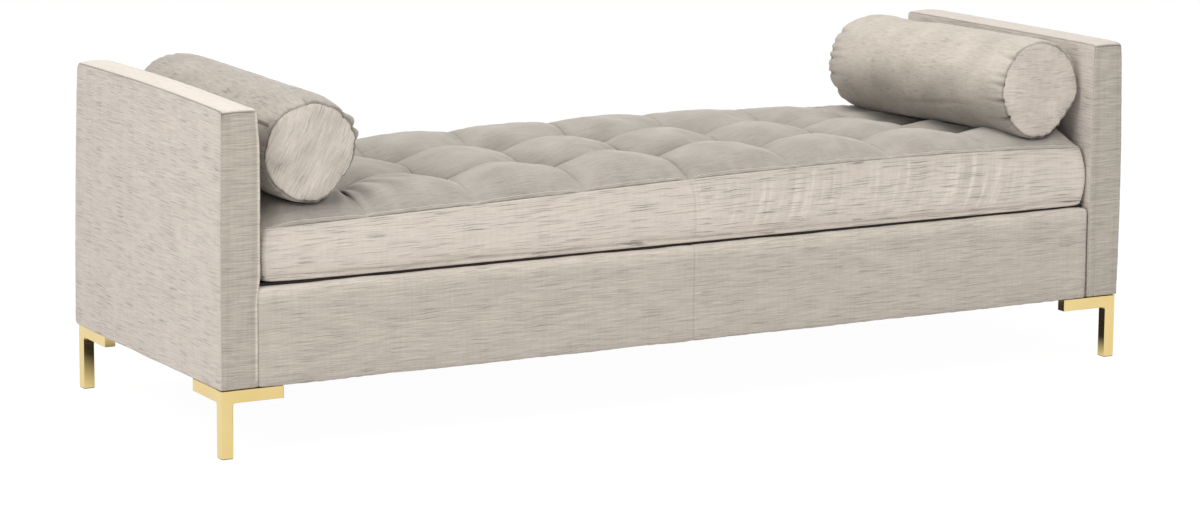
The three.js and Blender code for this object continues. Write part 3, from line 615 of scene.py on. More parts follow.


# One velvet in three copies, the band lightest and the strip darkest: partly the nap's direction
# on each panel, partly painted light and shade for how the light falls on it.
arm_side = velvet("velvet_arm_side", (0.572, 0.519, 0.475, 1), depth=0.32, length=0.05,
                  height=0.0016, weave=0.14, patches=0.22)
arm_strip = velvet("velvet_arm_strip", (0.45, 0.41, 0.358, 1), depth=0.12, length=0.05,
                   height=0.0027, weave=0.18, patches=0.14)
arm_band = velvet("velvet_arm_band", (0.67, 0.613, 0.56, 1), depth=0.06, length=0.03,
                  height=0.0028, weave=0.06, patches=0.1)

arm_radius, arm_crown, crown_run, foot_radius, top_end_fall = 0.0042, 0.0045, 0.045, 0.014, 0.0034
seam_level, deck_level, wall = 0.635, float(pad_low[2]), 0.011
hem_under, way_end, front_foot_share = 0.025, 0.332, 0.25
arm_pitch, arm_depth_pitch = 0.006, 0.0062
notch_reach, stitch_line, stitch_tone = 0.012, 0.0235, 0.09
edge_near = (0.0009, 0.002, 0.0035, 0.0055, 0.0085, 0.013)
tiny = 1e-6


def bell(distance, width):
    """1 where the distance is nothing, and next to nothing at three widths."""
    return np.exp(-(distance / width) ** 2)


def fading(distance, reach):
    """1 at the start, and a third of what it was after each reach."""
    return np.exp(-distance / reach)


def seam_dip(distance, depth, width, roll, reach):
    """A sewn seam: a narrow groove, and padding that rolls down towards it."""
    return depth * bell(distance, width) + roll * fading(distance, reach)


def eased(value, low, high):
    share = np.clip((value - low) / (high - low), 0, 1)
    return share * share * (3 - 2 * share)


# The padding stands out past the frame: at the foot and the top of the outer wall, first at the
# front and then at the back, and how much it swells between. Up is a share of the height.
outer_lean = {"left": ((0.0, -0.004), (0.0085, -0.003)),
              "right": ((0.006, 0.001), (0.006, 0.001))}
outer_swell = {"left": 0.002, "right": 0.0045}


def stands_out(side, up, back, from_front):
    """How far the outer wall, the inner wall and the top seams stand past the frame's lines."""
    front_lean, back_lean = outer_lean[side]
    front = front_lean[0] + (front_lean[1] - front_lean[0]) * up
    rear = back_lean[0] + (back_lean[1] - back_lean[0]) * up
    outer = front + (rear - front) * back + outer_swell[side] * np.sin(math.pi * up)
    if side == "left":
        held = eased(up, 0.3, 0.42)
        inner = 0.0055 * held * (1 - 0.9 * eased(up, 0.85, 1.0)) + 0.005 + 0.002 * up
        top = 0.007 + 0.0045 * np.sin(math.pi * back)
    else:
        inner = -0.0012 - 0.003 * np.abs(2 * up - 1) ** 6
        top = 0.01 - 0.0145 * back ** 1.2
    return outer, inner * fading(from_front, 0.014), top


def arm_skin(side, sign):
    low, high = (np.array(corner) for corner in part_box(f"{side}_arm_cover"))
    high[2] = seam_level
    outer, inner = (high[0], low[0]) if sign > 0 else (low[0], high[0])
    lines = [stops(low[0], high[0], arm_pitch, edge_near, [outer - sign * wall]),
             stops(low[1], high[1], arm_depth_pitch, edge_near,
                   [s * (high[1] - hem_under) for s in (-1, 1)] + [-way_end, way_end]),
             stops(low[2], high[2], arm_depth_pitch, edge_near, [deck_level])]
    faces, walls = box_skin(lines)
    points, faces = gathered(faces, lines)
    middle = points[faces].mean(1)
    inward = np.abs(middle[:, 0] - outer)
    from_end = high[1] - np.abs(middle[:, 1])
    # Open under the frame inside the hem, and on the inner side where the seat's rails come in.
    foot = (walls == floor_wall) & (inward > wall + 1e-4) & (from_end > hem_under)
    way = (inward > high[0] - low[0] - 1e-4) & (middle[:, 2] < deck_level) & (
        np.abs(middle[:, 1]) < way_end)
    keep = ~(foot | way)
    faces, walls = faces[keep], walls[keep]
    used, back = np.unique(faces.ravel(), return_inverse=True)
    points, faces = points[used], back.reshape(faces.shape)
    places = wall_places(points, faces, walls)
    places = np.where((walls // 2 == 2).repeat(4)[:, None], places[:, ::-1], places)

    sharp = points.copy()
    apart = np.stack([np.minimum(points[:, 0] - low[0], high[0] - points[:, 0]),
                      np.minimum(points[:, 1] - low[1], high[1] - points[:, 1]),
                      high[2] - points[:, 2]], 1)
    seam = np.sort(apart, 1)[:, 1]
    seam = np.where(points[:, 2] < low[2] + tiny, 1.0, seam)
    points, facing = rounded(points, low, high, arm_radius)

    # The band is crowned. Towards its ends the foot curves up and the top falls a little.
    inset = high[1] - np.abs(sharp[:, 1])
    rise = np.minimum(1, inset / crown_run)
    crown = arm_crown * (0.35 + 0.65 * np.sin(rise * math.pi / 2))
    share = np.abs(outer - sharp[:, 0]) / (high[0] - low[0])
    top = np.clip((sharp[:, 2] - (high[2] - tiny)) / tiny, 0, 1)
    points[:, 2] += top * crown * np.sin(np.clip(share, 0, 1) * math.pi) ** 0.7
    turn = np.clip(1 - inset / foot_radius, 0, 1)
    lift = foot_radius * (1 - np.sqrt(1 - turn * turn)) * np.where(
        sharp[:, 1] < 0, front_foot_share, 1)
    fall = top_end_fall * turn * turn
    height = (sharp[:, 2] - low[2]) / (high[2] - low[2])
    points[:, 2] += lift * (1 - height) - fall * height
    back = np.clip((sharp[:, 1] - low[1]) / (high[1] - low[1]), 0, 1)
    outer_stand, inner_stand, raised = stands_out(side, height, back, sharp[:, 1] - low[1])
    points[:, 0] += sign * (outer_stand * (1 - share) - inner_stand * share)
    points[:, 2] += raised * height ** 4

    at_top = fading(high[2] - sharp[:, 2], 0.008)
    dip = seam_dip(seam, depth=0.0011 * (0.5 + 0.5 * at_top), width=0.0013, roll=0.0011,
                   reach=0.011)
    uneven = 0.0005 * ripple(sharp, 0.13, 21 + sign) * (1 - fading(seam, 0.03))
    pucker = 0.00028 * ripple(sharp, 0.016, 31 + sign) * fading(seam, 0.008)
    notch = bell(inset, notch_reach) * bell(high[2] - sharp[:, 2], notch_reach) * bell(
        np.abs(sharp[:, 0] - outer), 0.01)
    points += facing * (uneven + pucker - dip - 0.0016 * notch)[:, None]

    # Painted shade in the seams, most of all along the top, and in the notch at its corners.
    shade = 1 - (0.16 + 0.34 * at_top) * bell(seam, 0.002)
    shade = shade - 0.05 * fading(seam, 0.01) - 0.3 * notch
    # A painted highlight, a pale line beside the strip's inner seam, stronger on the left arm,
    # and two rows of stitches down the strip.
    edge_highlight_at, edge_highlight_tone = (0.0026, 0.15) if sign > 0 else (0.0046, 0.6)
    from_inner = np.abs(sharp[:, 0] - inner)
    edge_highlight = bell(from_inner - edge_highlight_at, 0.0018)
    front = sharp[:, 1] < low[1] + tiny
    shade = shade + edge_highlight_tone * edge_highlight * front * (sharp[:, 2] > low[2] + 0.01)
    stitched = np.abs(np.abs(sharp[:, 0] - (inner + outer) / 2) - stitch_line)
    shade = shade - stitch_tone * front * bell(stitched, 0.0014)
    kinds = np.select([walls // 2 == 0, walls // 2 == 1, walls == top_wall], [0, 1, 2], 1)
    made = new_piece(f"{side}_arm_fabric", points, faces, [arm_side, arm_strip, arm_band],
                     kinds, places, shade)
    lining = made.modifiers.new("lining", "SOLIDIFY")
    lining.thickness, lining.offset = 0.0018, -1
    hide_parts(f"{side}_arm_cover")
    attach(made, "frame")


arm_skin("left", -1)
arm_skin("right", 1)

# Rail covers: padded velvet round the front and back boards, level with the ends of the arms,
# with an upright seam in the middle, a soft top edge and a hem turned under.
rail_fabric = velvet("velvet_rail", (0.508, 0.461, 0.408, 1), depth=0.2, length=0.06,
                     height=0.0022, weave=0.15, patches=0.2)


def evenly(path, pitch):
    """The same path with its points about pitch apart, keeping its first and last."""
    path = np.asarray(path, float)
    run = np.concatenate([[0], np.cumsum(np.linalg.norm(np.diff(path, axis=0), axis=1))])
    at = np.linspace(0, run[-1], round(run[-1] / pitch) + 1)
    return np.stack([np.interp(at, run, path[:, k]) for k in range(path.shape[1])], 1), at


def sheet_faces(rows, columns):
    """Faces of a grid of points, row by row."""
    index = np.arange(rows * columns).reshape(rows, columns)
    return np.stack([index[:-1, :-1], index[:-1, 1:], index[1:, 1:], index[1:, :-1]],
                    2).reshape(-1, 4)


rail_ease = 0.0018


def rail_skin(name, sign):
    low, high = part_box(name)
    face, inner = (low.y, high.y) if sign < 0 else (high.y, low.y)
    top, foot, hem, roll = high.z, low.z, 0.003, 0.009
    lip = abs(inner - face) - 0.001
    outline = [(0.0245, foot + 0.0002)]
    for radius, start, level in ((hem, math.pi, foot + hem), (roll, 1.5 * math.pi, top - roll)):
        for turn in np.linspace(start, start + math.pi / 2, 9):
            outline.append((radius + radius * math.sin(turn), level + radius * math.cos(turn)))
    outline += [(lip - 0.002, top - 0.0005), (lip, top - 0.003), (lip, top - 0.0095)]
    profile, run = evenly(outline, 0.0035)
    middle = [s * d for d in edge_near for s in (-1, 1)]
    low.x, high.x = low.x + rail_ease, high.x - rail_ease
    x = np.unique(np.concatenate([stops(low.x, high.x, 0.007, edge_near), [0], middle]))
    x = x[np.concatenate([[True], np.diff(x) > 0.0006])]
    tangent = np.gradient(profile, axis=0)
    tangent /= np.linalg.norm(tangent, axis=1)[:, None]
    out = np.stack([-tangent[:, 1], tangent[:, 0]], 1)
    across, along = np.meshgrid(np.arange(len(profile)), np.arange(len(x)), indexing="ij")
    across, along = across.ravel(), along.ravel()
    spot = np.stack([x[along], profile[across, 1], run[across]], 1)
    seam = np.abs(spot[:, 0])
    end = np.minimum(spot[:, 0] - low.x, high.x - spot[:, 0])
    dip = seam_dip(seam, depth=0.0007, width=0.0012, roll=0.0006, reach=0.012)
    dip = dip + 0.0022 * bell(end, 0.0028)
    dip = dip + 0.001 * fading(end, 0.012)
    flat = np.stack([spot[:, 0], spot[:, 2]], 1)
    uneven = 0.0006 * ripple(flat, 0.17, 41 + sign) + 0.0003 * ripple(flat, 0.05, 43 + sign)
    pull = 0.0004 * ripple(spot[:, :1], 0.03, 47 + sign) * fading(np.abs(spot[:, 1] - foot), 0.012)
    push = (uneven + pull) * (1 - fading(spot[:, 2] - run[0], 0.02)) - dip
    shift = push[:, None] * out[across]
    y = profile[across, 0] + shift[:, 0]
    z = profile[across, 1] + shift[:, 1]
    points = np.stack([x[along], face - sign * y, z], 1)
    faces = sheet_faces(len(profile), len(x))
    if sign > 0:
        faces = faces[:, ::-1]
    # Painted shade in the middle seam, at the ends and towards the foot, and a painted highlight
    # along the top edge.
    shade = 1 - 0.13 * bell(seam, 0.0015) - 0.25 * bell(end, 0.003)
    crest = bell(spot[:, 1] - (top - 0.010), 0.012)
    shade = shade + 0.16 * crest - 0.1 * fading(spot[:, 1] - foot, 0.02)
    places = np.stack([spot[:, 0], spot[:, 2]], 1)[faces.ravel()]
    made = new_piece(f"{name.replace('_cover', '')}_fabric", points, faces, [rail_fabric],
                     None, places, shade)
    lining = made.modifiers.new("lining", "SOLIDIFY")
    lining.thickness, lining.offset = 0.0015, -1
    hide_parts(name)
    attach(made, "frame")


rail_skin("front_rail_cover", -1)
rail_skin("back_rail_cover", 1)

# Legs: 23 mm square brass-plated bar, mitred and welded at each corner, ground flush and
# polished. The edges catch the light; faint hairlines run along the bar.
brass, tree, shader = new_material("polished_brass", 0.16, Metallic=1.0)
place = object_place(tree)
hairs = noise(tree, place, 700, (0.03, 0.03, 1), roughness=0.6)
smears = noise(tree, place, 14)
tone = blended(tree, between(tree, smears, 0.35, 0.65), (0.80, 0.615, 0.265, 1),
               (0.835, 0.655, 0.305, 1))
tree.links.new(tone, shader.inputs["Base Color"])
rough = sums(tree, "ADD", between(tree, hairs, 0.3, 0.7, 0.07, 0.13),
             between(tree, smears, 0.4, 0.7, 0, 0.04))
tree.links.new(rough, shader.inputs["Roughness"])
relief(tree, shader, hairs, 0.00003, 0.5)
for corner in corners:
    finish_node(f"leg_{corner}", brass)

# Glides: black nylon plugs pressed into the feet of the four legs. They are matt, with a fine
# grain from the mould.
nylon, tree, shader = new_material("black_nylon", 0.55)
grain = noise(tree, object_place(tree), 2600, detail=3)
tree.links.new(blended(tree, grain, (0.010, 0.010, 0.011, 1), (0.024, 0.024, 0.026, 1)),
               shader.inputs["Base Color"])
relief(tree, shader, grain, 0.0001)
for corner in corners:
    finish_node(f"glide_{corner}", nylon)

# Leg screws: zinc-plated wood screws, two through each leg's welded plate into the corner block
# above it. The plating is a little hazy.
zinc, tree, shader = new_material("zinc_screw", 0.35, Metallic=1.0)
haze = noise(tree, object_place(tree), 900, detail=3)
tree.links.new(blended(tree, haze, (0.48, 0.49, 0.5, 1), (0.7, 0.7, 0.68, 1)),
               shader.inputs["Base Color"])
tree.links.new(between(tree, haze, 0.3, 0.7, 0.25, 0.45), shader.inputs["Roughness"])
for corner in corners:
    for number in (1, 2):
        finish_node(f"leg_screw_{corner}_{number}", zinc)

# Seat cushion: one loose box cushion, foam wrapped in fibre, in a velvet cover with a boxed
# border. Blind tufts pull the top down in two rows of seven; seams run round top and bottom.
foam, tree, shader = new_material("cushion_foam", 0.95)
cells = add_node(tree, "ShaderNodeTexVoronoi", {"Vector": object_place(tree), "Scale": 900.0})
yellowed = noise(tree, object_place(tree), 12, detail=4)
tone = blended(tree, between(tree, yellowed, 0.35, 0.65), (0.78, 0.72, 0.46, 1),
               (0.84, 0.79, 0.6, 1))
tone = blended(tree, between(tree, cells.outputs["Distance"], 0.0, 0.6, 0.35, 0), tone,
               (0.45, 0.4, 0.25, 1))
tree.links.new(tone, shader.inputs["Base Color"])
relief(tree, shader, cells.outputs["Distance"], 0.0004)
for name in ("seat_cushion_core", "bolster_left_core", "bolster_right_core"):
    finish_node(name, foam)

cushion_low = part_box("seat_cushion_cover")[0]
half_length, half_depth, bulge = 0.916, 0.331, 0.005
seam_x, seam_y = half_length - bulge, half_depth - bulge
cushion_floor, border_height, plan_radius = cushion_low.z, 0.131, 0.015
seam_top = cushion_floor + border_height
puff_columns, puff_rows = 8, 3
pitch_x, pitch_y = 2 * half_length / puff_columns, 2 * half_depth / puff_rows
crest_rise, crest_back_drop, tuft_depth = 0.039, 0.0345, 0.05
bolster_radius, bolster_run, bolster_gap = 0.101, 0.63, 0.0012


def lying(side, aside, shift, drop):
    """Middle and slope of a bolster's axis: it lies a little askew on the cushion."""
    low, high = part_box(f"bolster_{side}_core")
    middle = (low + high) / 2
    return middle.x + aside, middle.z, shift / bolster_run, -drop / bolster_run


bolster_lie = {"left": lying("left", aside=-0.001, shift=-0.004, drop=-0.008),
               "right": lying("right", aside=0.004, shift=-0.017, drop=0.018)}
# The top seam is pulled down at both ends, more at the left: heights along the cushion, joined
# by a smooth curve.
seam_places = (-0.9, -0.7, -0.57, -0.44, -0.33, 0, 0.29, 0.52, 0.75, 0.9)
seam_heights = (0.4185, 0.4225, 0.425, 0.428, 0.4325, 0.4405, 0.446, 0.4465, 0.4415, 0.435)
seam_curve = np.polyfit(seam_places, seam_heights, 4)


def top_seam(x):
    """Height of the seam round the top, along the cushion."""
    return np.polyval(seam_curve, x)


def crest_level(x, y):
    """Height of the tops of the puffs: highest right of the middle, lower to the back."""
    share = x / half_length
    peak = 0.185
    away = np.where(share < peak, (peak - share) / (1 + peak), (share - peak) / (1 - peak))
    sag = np.where(share < peak, 0.0194, 0.01) * (1 - np.cos(math.pi * np.minimum(1, away))) / 2
    back = (1 + y / half_depth) / 2
    pressed = 0.034 * back * bell(x - 0.8, 0.17)
    return seam_top + crest_rise - sag - crest_back_drop * back * (1 + share) / 2 - pressed


def tufted_level(x, y):
    """Height of the top: soft puffs between the tufts, rolled down to the seam at the edges."""
    last_column, last_row = half_length - pitch_x / 2, half_depth - pitch_y / 2
    column = np.abs(np.sin(math.pi * (np.minimum(x, last_column) + half_length) / pitch_x))
    behind = np.clip((y - pitch_y / 2) / (last_row - pitch_y / 2), 0, 1)
    column = 1 - (1 - column) * (1 - 0.6 * behind)
    row = np.abs(np.sin(math.pi * (np.clip(y, -last_row, last_row) + half_depth) / pitch_y))
    hollow = (column * row) ** 0.85
    ridge = 1 - (1 - column * column) * (1 - row * row)
    puff = 0.48 * hollow + 0.52 * ridge
    depth = tuft_depth * (1 - 0.35 * bell(x - 0.7, 0.1))
    level = crest_level(x, y) - depth * (1 - puff)
    roll_x = np.sin(math.pi / 2 * np.clip((seam_x - np.abs(x)) / np.where(x > 0, 0.035, 0.095),
                                          0, 1))
    roll_y = np.sin(math.pi / 2 * np.clip((seam_y - np.abs(y)) / 0.095, 0, 1))
    seam = top_seam(x)
    return seam + (level - seam) * (roll_x * roll_y) ** 0.8


def under_bolsters(x, y, level, spare):
    """The cushion gives way under each bolster by its round underside."""
    for middle_x, middle_z, shift, rise in bolster_lie.values():
        across = np.abs(x - middle_x - shift * y)
        reach = bolster_radius + spare
        round_under = middle_z + rise * y - np.sqrt(np.maximum(0, reach ** 2 - across ** 2))
        level = np.where(across < reach, np.minimum(level, round_under), level)
    return level


def plan_place(x, y):
    """A place on the divided rectangle, moved so that the rectangle's corners are round."""
    core_x = np.clip(x, -(seam_x - plan_radius), seam_x - plan_radius)
    core_y = np.clip(y, -(seam_y - plan_radius), seam_y - plan_radius)
    off_x, off_y = x - core_x, y - core_y
    length = np.hypot(off_x, off_y)
    fit = np.where(length > 1e-9, np.maximum(np.abs(off_x), np.abs(off_y)) /
                   np.maximum(length, 1e-9), 1)
    return core_x + off_x * fit, core_y + off_y * fit


tuft_x = np.array([(column - 3) * pitch_x for column in range(7)])
tuft_y = np.array([-pitch_y / 2, pitch_y / 2])


def with_creases(line, middles, offsets, apart):
    """More places on a line, close to each crease, in place of any that are too near them."""
    extra = np.array([middle + side * offset for middle in middles for offset in offsets
                      for side in (-1, 1)])
    far = np.abs(line[:, None] - extra[None]).min(1) > apart
    return np.unique(np.round(np.concatenate([line[far], extra]), 7))


near = (0.0009, 0.0025, 0.0055, 0.0095)
cushion_lines = [
    with_creases(stops(-seam_x, seam_x, 0.0115, near), tuft_x, (0, 0.003, 0.0075), 0.004),
    with_creases(stops(-seam_y, seam_y, 0.0115, near), tuft_y, (0, 0.003, 0.0075), 0.004),
    np.concatenate([[0, 0.007, 0.02, 0.045, 0.08], np.linspace(0.13, 0.87, 9),
                    [0.92, 0.955, 0.98, 0.993, 1]])]
faces, walls = box_skin(cushion_lines)
points, faces = gathered(faces, cushion_lines)
sharp = points.copy()
plan_x, plan_y = plan_place(sharp[:, 0], sharp[:, 1])
from_side = np.minimum(seam_x - np.abs(sharp[:, 0]), seam_y - np.abs(sharp[:, 1]))
on_border = from_side < tiny
share_up = sharp[:, 2]
bottom_seam = cushion_floor + 0.009
seam_height = top_seam(plan_x)

# The border stands between its two seams and swells; its sides pull in between the corners.
edge_x = sharp[:, 0] - np.clip(sharp[:, 0], -(seam_x - plan_radius), seam_x - plan_radius)
edge_y = sharp[:, 1] - np.clip(sharp[:, 1], -(seam_y - plan_radius), seam_y - plan_radius)
edge_length = np.maximum(np.hypot(edge_x, edge_y), 1e-9)
facing_x, facing_y = edge_x / edge_length, edge_y / edge_length
at_corner = (2 * facing_x * facing_y) ** 2
swell = (bulge + 0.005 * at_corner) * np.sin(math.pi * np.clip(share_up, 0, 1)) ** (
    0.6 + 0.4 * at_corner)
corner_foot = 0.0055 * at_corner
swell += corner_foot * (1 - share_up)
draw_x = 0.003 * (1 - (sharp[:, 1] / seam_y) ** 2)
draw_y = 0.003 * (1 - (sharp[:, 0] / seam_x) ** 8)
level = bottom_seam + share_up * (seam_height - bottom_seam)
border_x = plan_x + facing_x * (swell - draw_x)
border_y = plan_y + facing_y * (swell - draw_y)
top_level = under_bolsters(plan_x, plan_y, tufted_level(plan_x, plan_y), 0.0012)
is_top, is_floor = share_up > 1 - 1e-9, share_up < 1e-9
lower, turn_radius = 0.006, 0.003
turned = np.clip((from_side - lower) / (turn_radius * math.pi / 2), 0, 1) * math.pi / 2
floor_level = cushion_floor + 0.0002 + turn_radius * (1 - np.sin(turned)) + np.maximum(
    0, lower - from_side)
tucked = np.where(from_side < lower + turn_radius * math.pi / 2,
                  from_side - turn_radius * (1 - np.cos(turned)),
                  (lower + turn_radius * (math.pi / 2 - 1)) * fading(from_side, 0.04))
near_draw = np.where(is_floor, 1, fading(from_side, 0.03))
tucked = np.where(is_floor, tucked, 0)
near_x = near_draw * fading(np.maximum(0, seam_x - np.abs(sharp[:, 0])), 0.06)
near_y = near_draw * fading(np.maximum(0, seam_y - np.abs(sharp[:, 1])), 0.06)
tucked = tucked + np.where(is_floor, corner_foot, 0) - 0.5 * at_corner * np.where(
    is_floor, from_side, 0)
flat_x = plan_x - facing_x * draw_x * near_x + facing_x * tucked
flat_y = plan_y - facing_y * draw_y * near_y + facing_y * tucked
hang = 0.0031 * np.clip((np.abs(flat_y) - float(pad_high[1]) - 0.0012) / 0.002, 0, 1)
floor_level = floor_level - np.where(is_floor, hang, 0)
border_z = np.where(is_top, seam_height, np.where(is_floor, bottom_seam, level))
cushion_points = np.stack([
    np.where(on_border, border_x, flat_x), np.where(on_border, border_y, flat_y),
    np.where(on_border, border_z, np.where(is_top, top_level, floor_level))], 1)
# At its left front corner the cushion is drawn in from the arm and its lower edge is lifted.
from_left, from_front = plan_x + seam_x, plan_y + seam_y
cushion_points[:, 0] += 0.018 * fading(from_left + from_front, 0.04)
cushion_points[:, 2] += 0.005 * (1 - share_up) * np.exp(-from_left / 0.07 - from_front / 0.05)


def from_tufts(x, y):
    """Distance to the nearest tuft."""
    best = np.full(len(x), 9.0)
    for spot_x in tuft_x:
        for spot_y in tuft_y:
            best = np.minimum(best, np.hypot(x - spot_x, y - spot_y))
    return best


def puffed_up(points, faces, held, pressure, cap, slack):
    """Cloth blown up from inside with some points held, moved by no more than cap."""
    used, back = np.unique(faces.ravel(), return_inverse=True)
    start = points[used]
    made = new_piece("puffing", start, back.reshape(faces.shape), [])
    group = made.vertex_groups.new(name="held")
    group.add(np.nonzero(held[used])[0].tolist(), 1.0, "REPLACE")
    cloth = made.modifiers.new("cloth", "CLOTH")
    settings = cloth.settings
    settings.quality, settings.mass = 6, 0.15
    settings.tension_stiffness = settings.compression_stiffness = 12
    settings.shear_stiffness, settings.bending_stiffness = 4, 0.08
    settings.use_pressure, settings.uniform_pressure_force = True, pressure
    settings.shrink_min = settings.shrink_max = -slack
    settings.vertex_group_mass = "held"
    settings.effector_weights.gravity = 0
    cloth.collision_settings.use_collision = False
    steps = 20
    cloth.point_cache.frame_start, cloth.point_cache.frame_end = 1, steps
    scene = bpy.context.scene
    for step in range(1, steps + 1):
        scene.frame_set(step)
    seen = made.evaluated_get(bpy.context.evaluated_depsgraph_get())
    after = np.zeros(len(start) * 3)
    seen.data.vertices.foreach_get("co", after)
    scene.frame_set(1)
    bpy.data.objects.remove(made)
    move = after.reshape(-1, 3) - start
    length = np.linalg.norm(move, axis=1)[:, None]
    blown = points.copy()
    blown[used] += move * np.minimum(1, cap / np.maximum(length, 1e-9))
    return blown


tufts_away = from_tufts(plan_x, plan_y)
held = (on_border & (is_top | is_floor)) | is_floor | (is_top & (tufts_away < 0.006))
blown = puffed_up(cushion_points, faces[walls != floor_wall], held, pressure=6.0, cap=0.026,
                  slack=0.03)
fit = np.where(is_top, 0.55, 0.12)[:, None]
cushion_points = cushion_points + (blown - cushion_points) * fit


def finer(name, points, faces, spots):
    """One subdivision; gives the fine points, faces, normals and each point's spot."""
    made = new_piece(name, points, faces, [])
    corners_of = faces.ravel()
    for label, columns in (("first", (0, 1)), ("second", (2, 2))):
        layer = made.data.uv_layers.new(name=label)
        layer.uv.foreach_set("vector", spots[corners_of][:, columns].astype(np.float32).ravel())
    smoother = made.modifiers.new("finer", "SUBSURF")
    smoother.levels = smoother.render_levels = 1
    smoother.uv_smooth = "NONE"
    seen = made.evaluated_get(bpy.context.evaluated_depsgraph_get())
    mesh = bpy.data.meshes.new_from_object(seen)
    bpy.data.objects.remove(made)
    count = len(mesh.vertices)
    fine = np.zeros(count * 3)
    mesh.vertices.foreach_get("co", fine)
    facing = np.zeros(count * 3)
    mesh.vertex_normals.foreach_get("vector", facing)
    owner = np.zeros(len(mesh.loops), int)
    mesh.loops.foreach_get("vertex_index", owner)
    spot = np.zeros((count, 3))
    for label, columns in (("first", [0, 1]), ("second", [2])):
        value = np.zeros(len(mesh.loops) * 2)
        mesh.uv_layers[label].uv.foreach_get("vector", value)
        spot[owner[:, None], columns] = value.reshape(-1, 2)[:, :len(columns)]
    bpy.data.meshes.remove(mesh)
    return fine.reshape(-1, 3), owner.reshape(-1, 4), facing.reshape(-1, 3), spot


points, faces, facing, spot = finer("cushion", cushion_points, faces, sharp)
x, y, rise = spot.T
edge = np.minimum(seam_x - np.abs(x), seam_y - np.abs(y))
border = (rise > tiny) & (rise < 1 - tiny)
top = rise > 1 - tiny
floor_part = rise < tiny
around = np.where(np.abs(x) / seam_x > np.abs(y) / seam_y, y, x)
up = rise * border_height
from_top_seam = np.where(top, edge, np.where(border, (1 - rise) * border_height, 9))
from_low_seam = np.where(floor_part, edge, np.where(border, rise * border_height, 9))
centre_seam = np.where(floor_part, 9, np.abs(x))
seam = np.minimum(from_top_seam, from_low_seam)

# Folds: creases along the tufted lines and rays from each tuft. How strongly the border is
# gathered is kept for its velvet, which shows the gathers as bumps with painted light and shade.
column_line = np.min(np.abs(x[:, None] - tuft_x[None]), 1)
row_line = np.min(np.abs(y[:, None] - tuft_y[None]), 1)
away = from_tufts(x, y)
pinched = 0.35 + 0.65 * fading(away, 0.05)
inside = 1 - fading(edge, 0.05)
pit = top * 0.006 * bell(away, 0.011)
rays = np.zeros(len(x))
chance = np.random.default_rng(7)
for spot_x in tuft_x:
    for spot_y in tuft_y:
        span = np.hypot(x - spot_x, y - spot_y)
        close = top & (span < 0.13)
        turn = np.arctan2(y[close] - spot_y, x[close] - spot_x)
        folds = np.zeros(close.sum())
        for count in (5, 7, 9, 12):
            folds += chance.uniform(0.4, 1) * np.sin(count * turn + chance.uniform(0, math.tau))
        reach = chance.uniform(0.03, 0.042)
        rays[close] += 0.0014 * folds * fading(span[close], reach) * (
            1 - fading(span[close], 0.012))
# A fan of folds runs to the front from under the left bolster.
fan_x, fan_y = -0.69, -0.15
span = np.hypot(x - fan_x, y - fan_y)
turn = np.arctan2(y - fan_y, x - fan_x)
spread = top * bell(turn + 1.15, 0.85) * bell(span - 0.08, 0.065)
fan = spread * np.cos(19 * turn + 1.6 * np.sin(4 * turn + 1) + 12 * span)
crease = top * inside * pinched * (1 - 0.85 * spread) * (
    0.0034 * fading(column_line, 0.0075) +
    0.0028 * fading(row_line, 0.0075) * (np.abs(y) < half_depth))
flat = np.stack([x, y], 1)
soft = top * inside * (0.0012 * ripple(flat, 0.11, 61) + 0.0006 * ripple(flat, 0.05, 62))
side_run = np.where(seam_x - np.abs(x) < seam_y - np.abs(y), y, x)
drawn = top * 0.0009 * ripple(np.stack([side_run, 0.12 * edge], 1), 0.022, 69) * fading(
    edge, 0.045) * (1 - fading(edge, 0.004))
in_front = (y < 0) & (np.abs(x) < seam_x - 0.01)
strength = np.full(len(x), 0.12)
for spot_x, reach, amount in ((0.19, 0.11, 0.8), (0.32, 0.05, 0.8), (0.47, 0.06, 1.0),
                              (0.67, 0.085, 1.7)):
    strength += in_front * amount * bell(x - spot_x, reach)
gathers = border * np.sin(math.pi * np.clip(rise, 0, 1)) ** 0.5 * strength
swag = border * (1 - rise) * 0.0016 * ripple(np.stack([around], 1), 0.34, 67)
dip = seam_dip(seam, depth=0.0015, width=0.0015, roll=0.001, reach=0.008)
dip = dip + 0.0008 * bell(centre_seam, 0.0014) + 0.0007 * fading(centre_seam, 0.012)
dip = dip + top * (y < 0) * 0.005 * fading(np.abs(x), 0.02) * fading(edge, 0.06)
dip = np.where(floor_part & (edge > 0.012), 0, dip)
from_corner = seam_x - np.abs(x) + seam_y - np.abs(y)
dip = dip * np.where(from_low_seam < from_top_seam, 0.5, 1) * (
    1 - 0.8 * fading(from_corner, 0.01))
push = rays + 0.0034 * fan + soft + drawn + swag - dip - crease - pit
points = points + facing * push[:, None]
points[:, 0] += border * 0.012 * (1 - np.exp((rise - 1) / 0.25)) * bell(x, 0.035)
cushion_end = 0.9186
points[:, 0] = np.clip(points[:, 0], -cushion_end, cushion_end)
points[:, 2] = np.where(
    top, under_bolsters(points[:, 0], points[:, 1], points[:, 2], bolster_gap), points[:, 2])
over_pad = np.abs(points[:, 1]) < pad_high[1] + 0.0012
points[:, 2] = np.maximum(points[:, 2], cushion_floor + np.where(over_pad, 0.0001, -0.003))
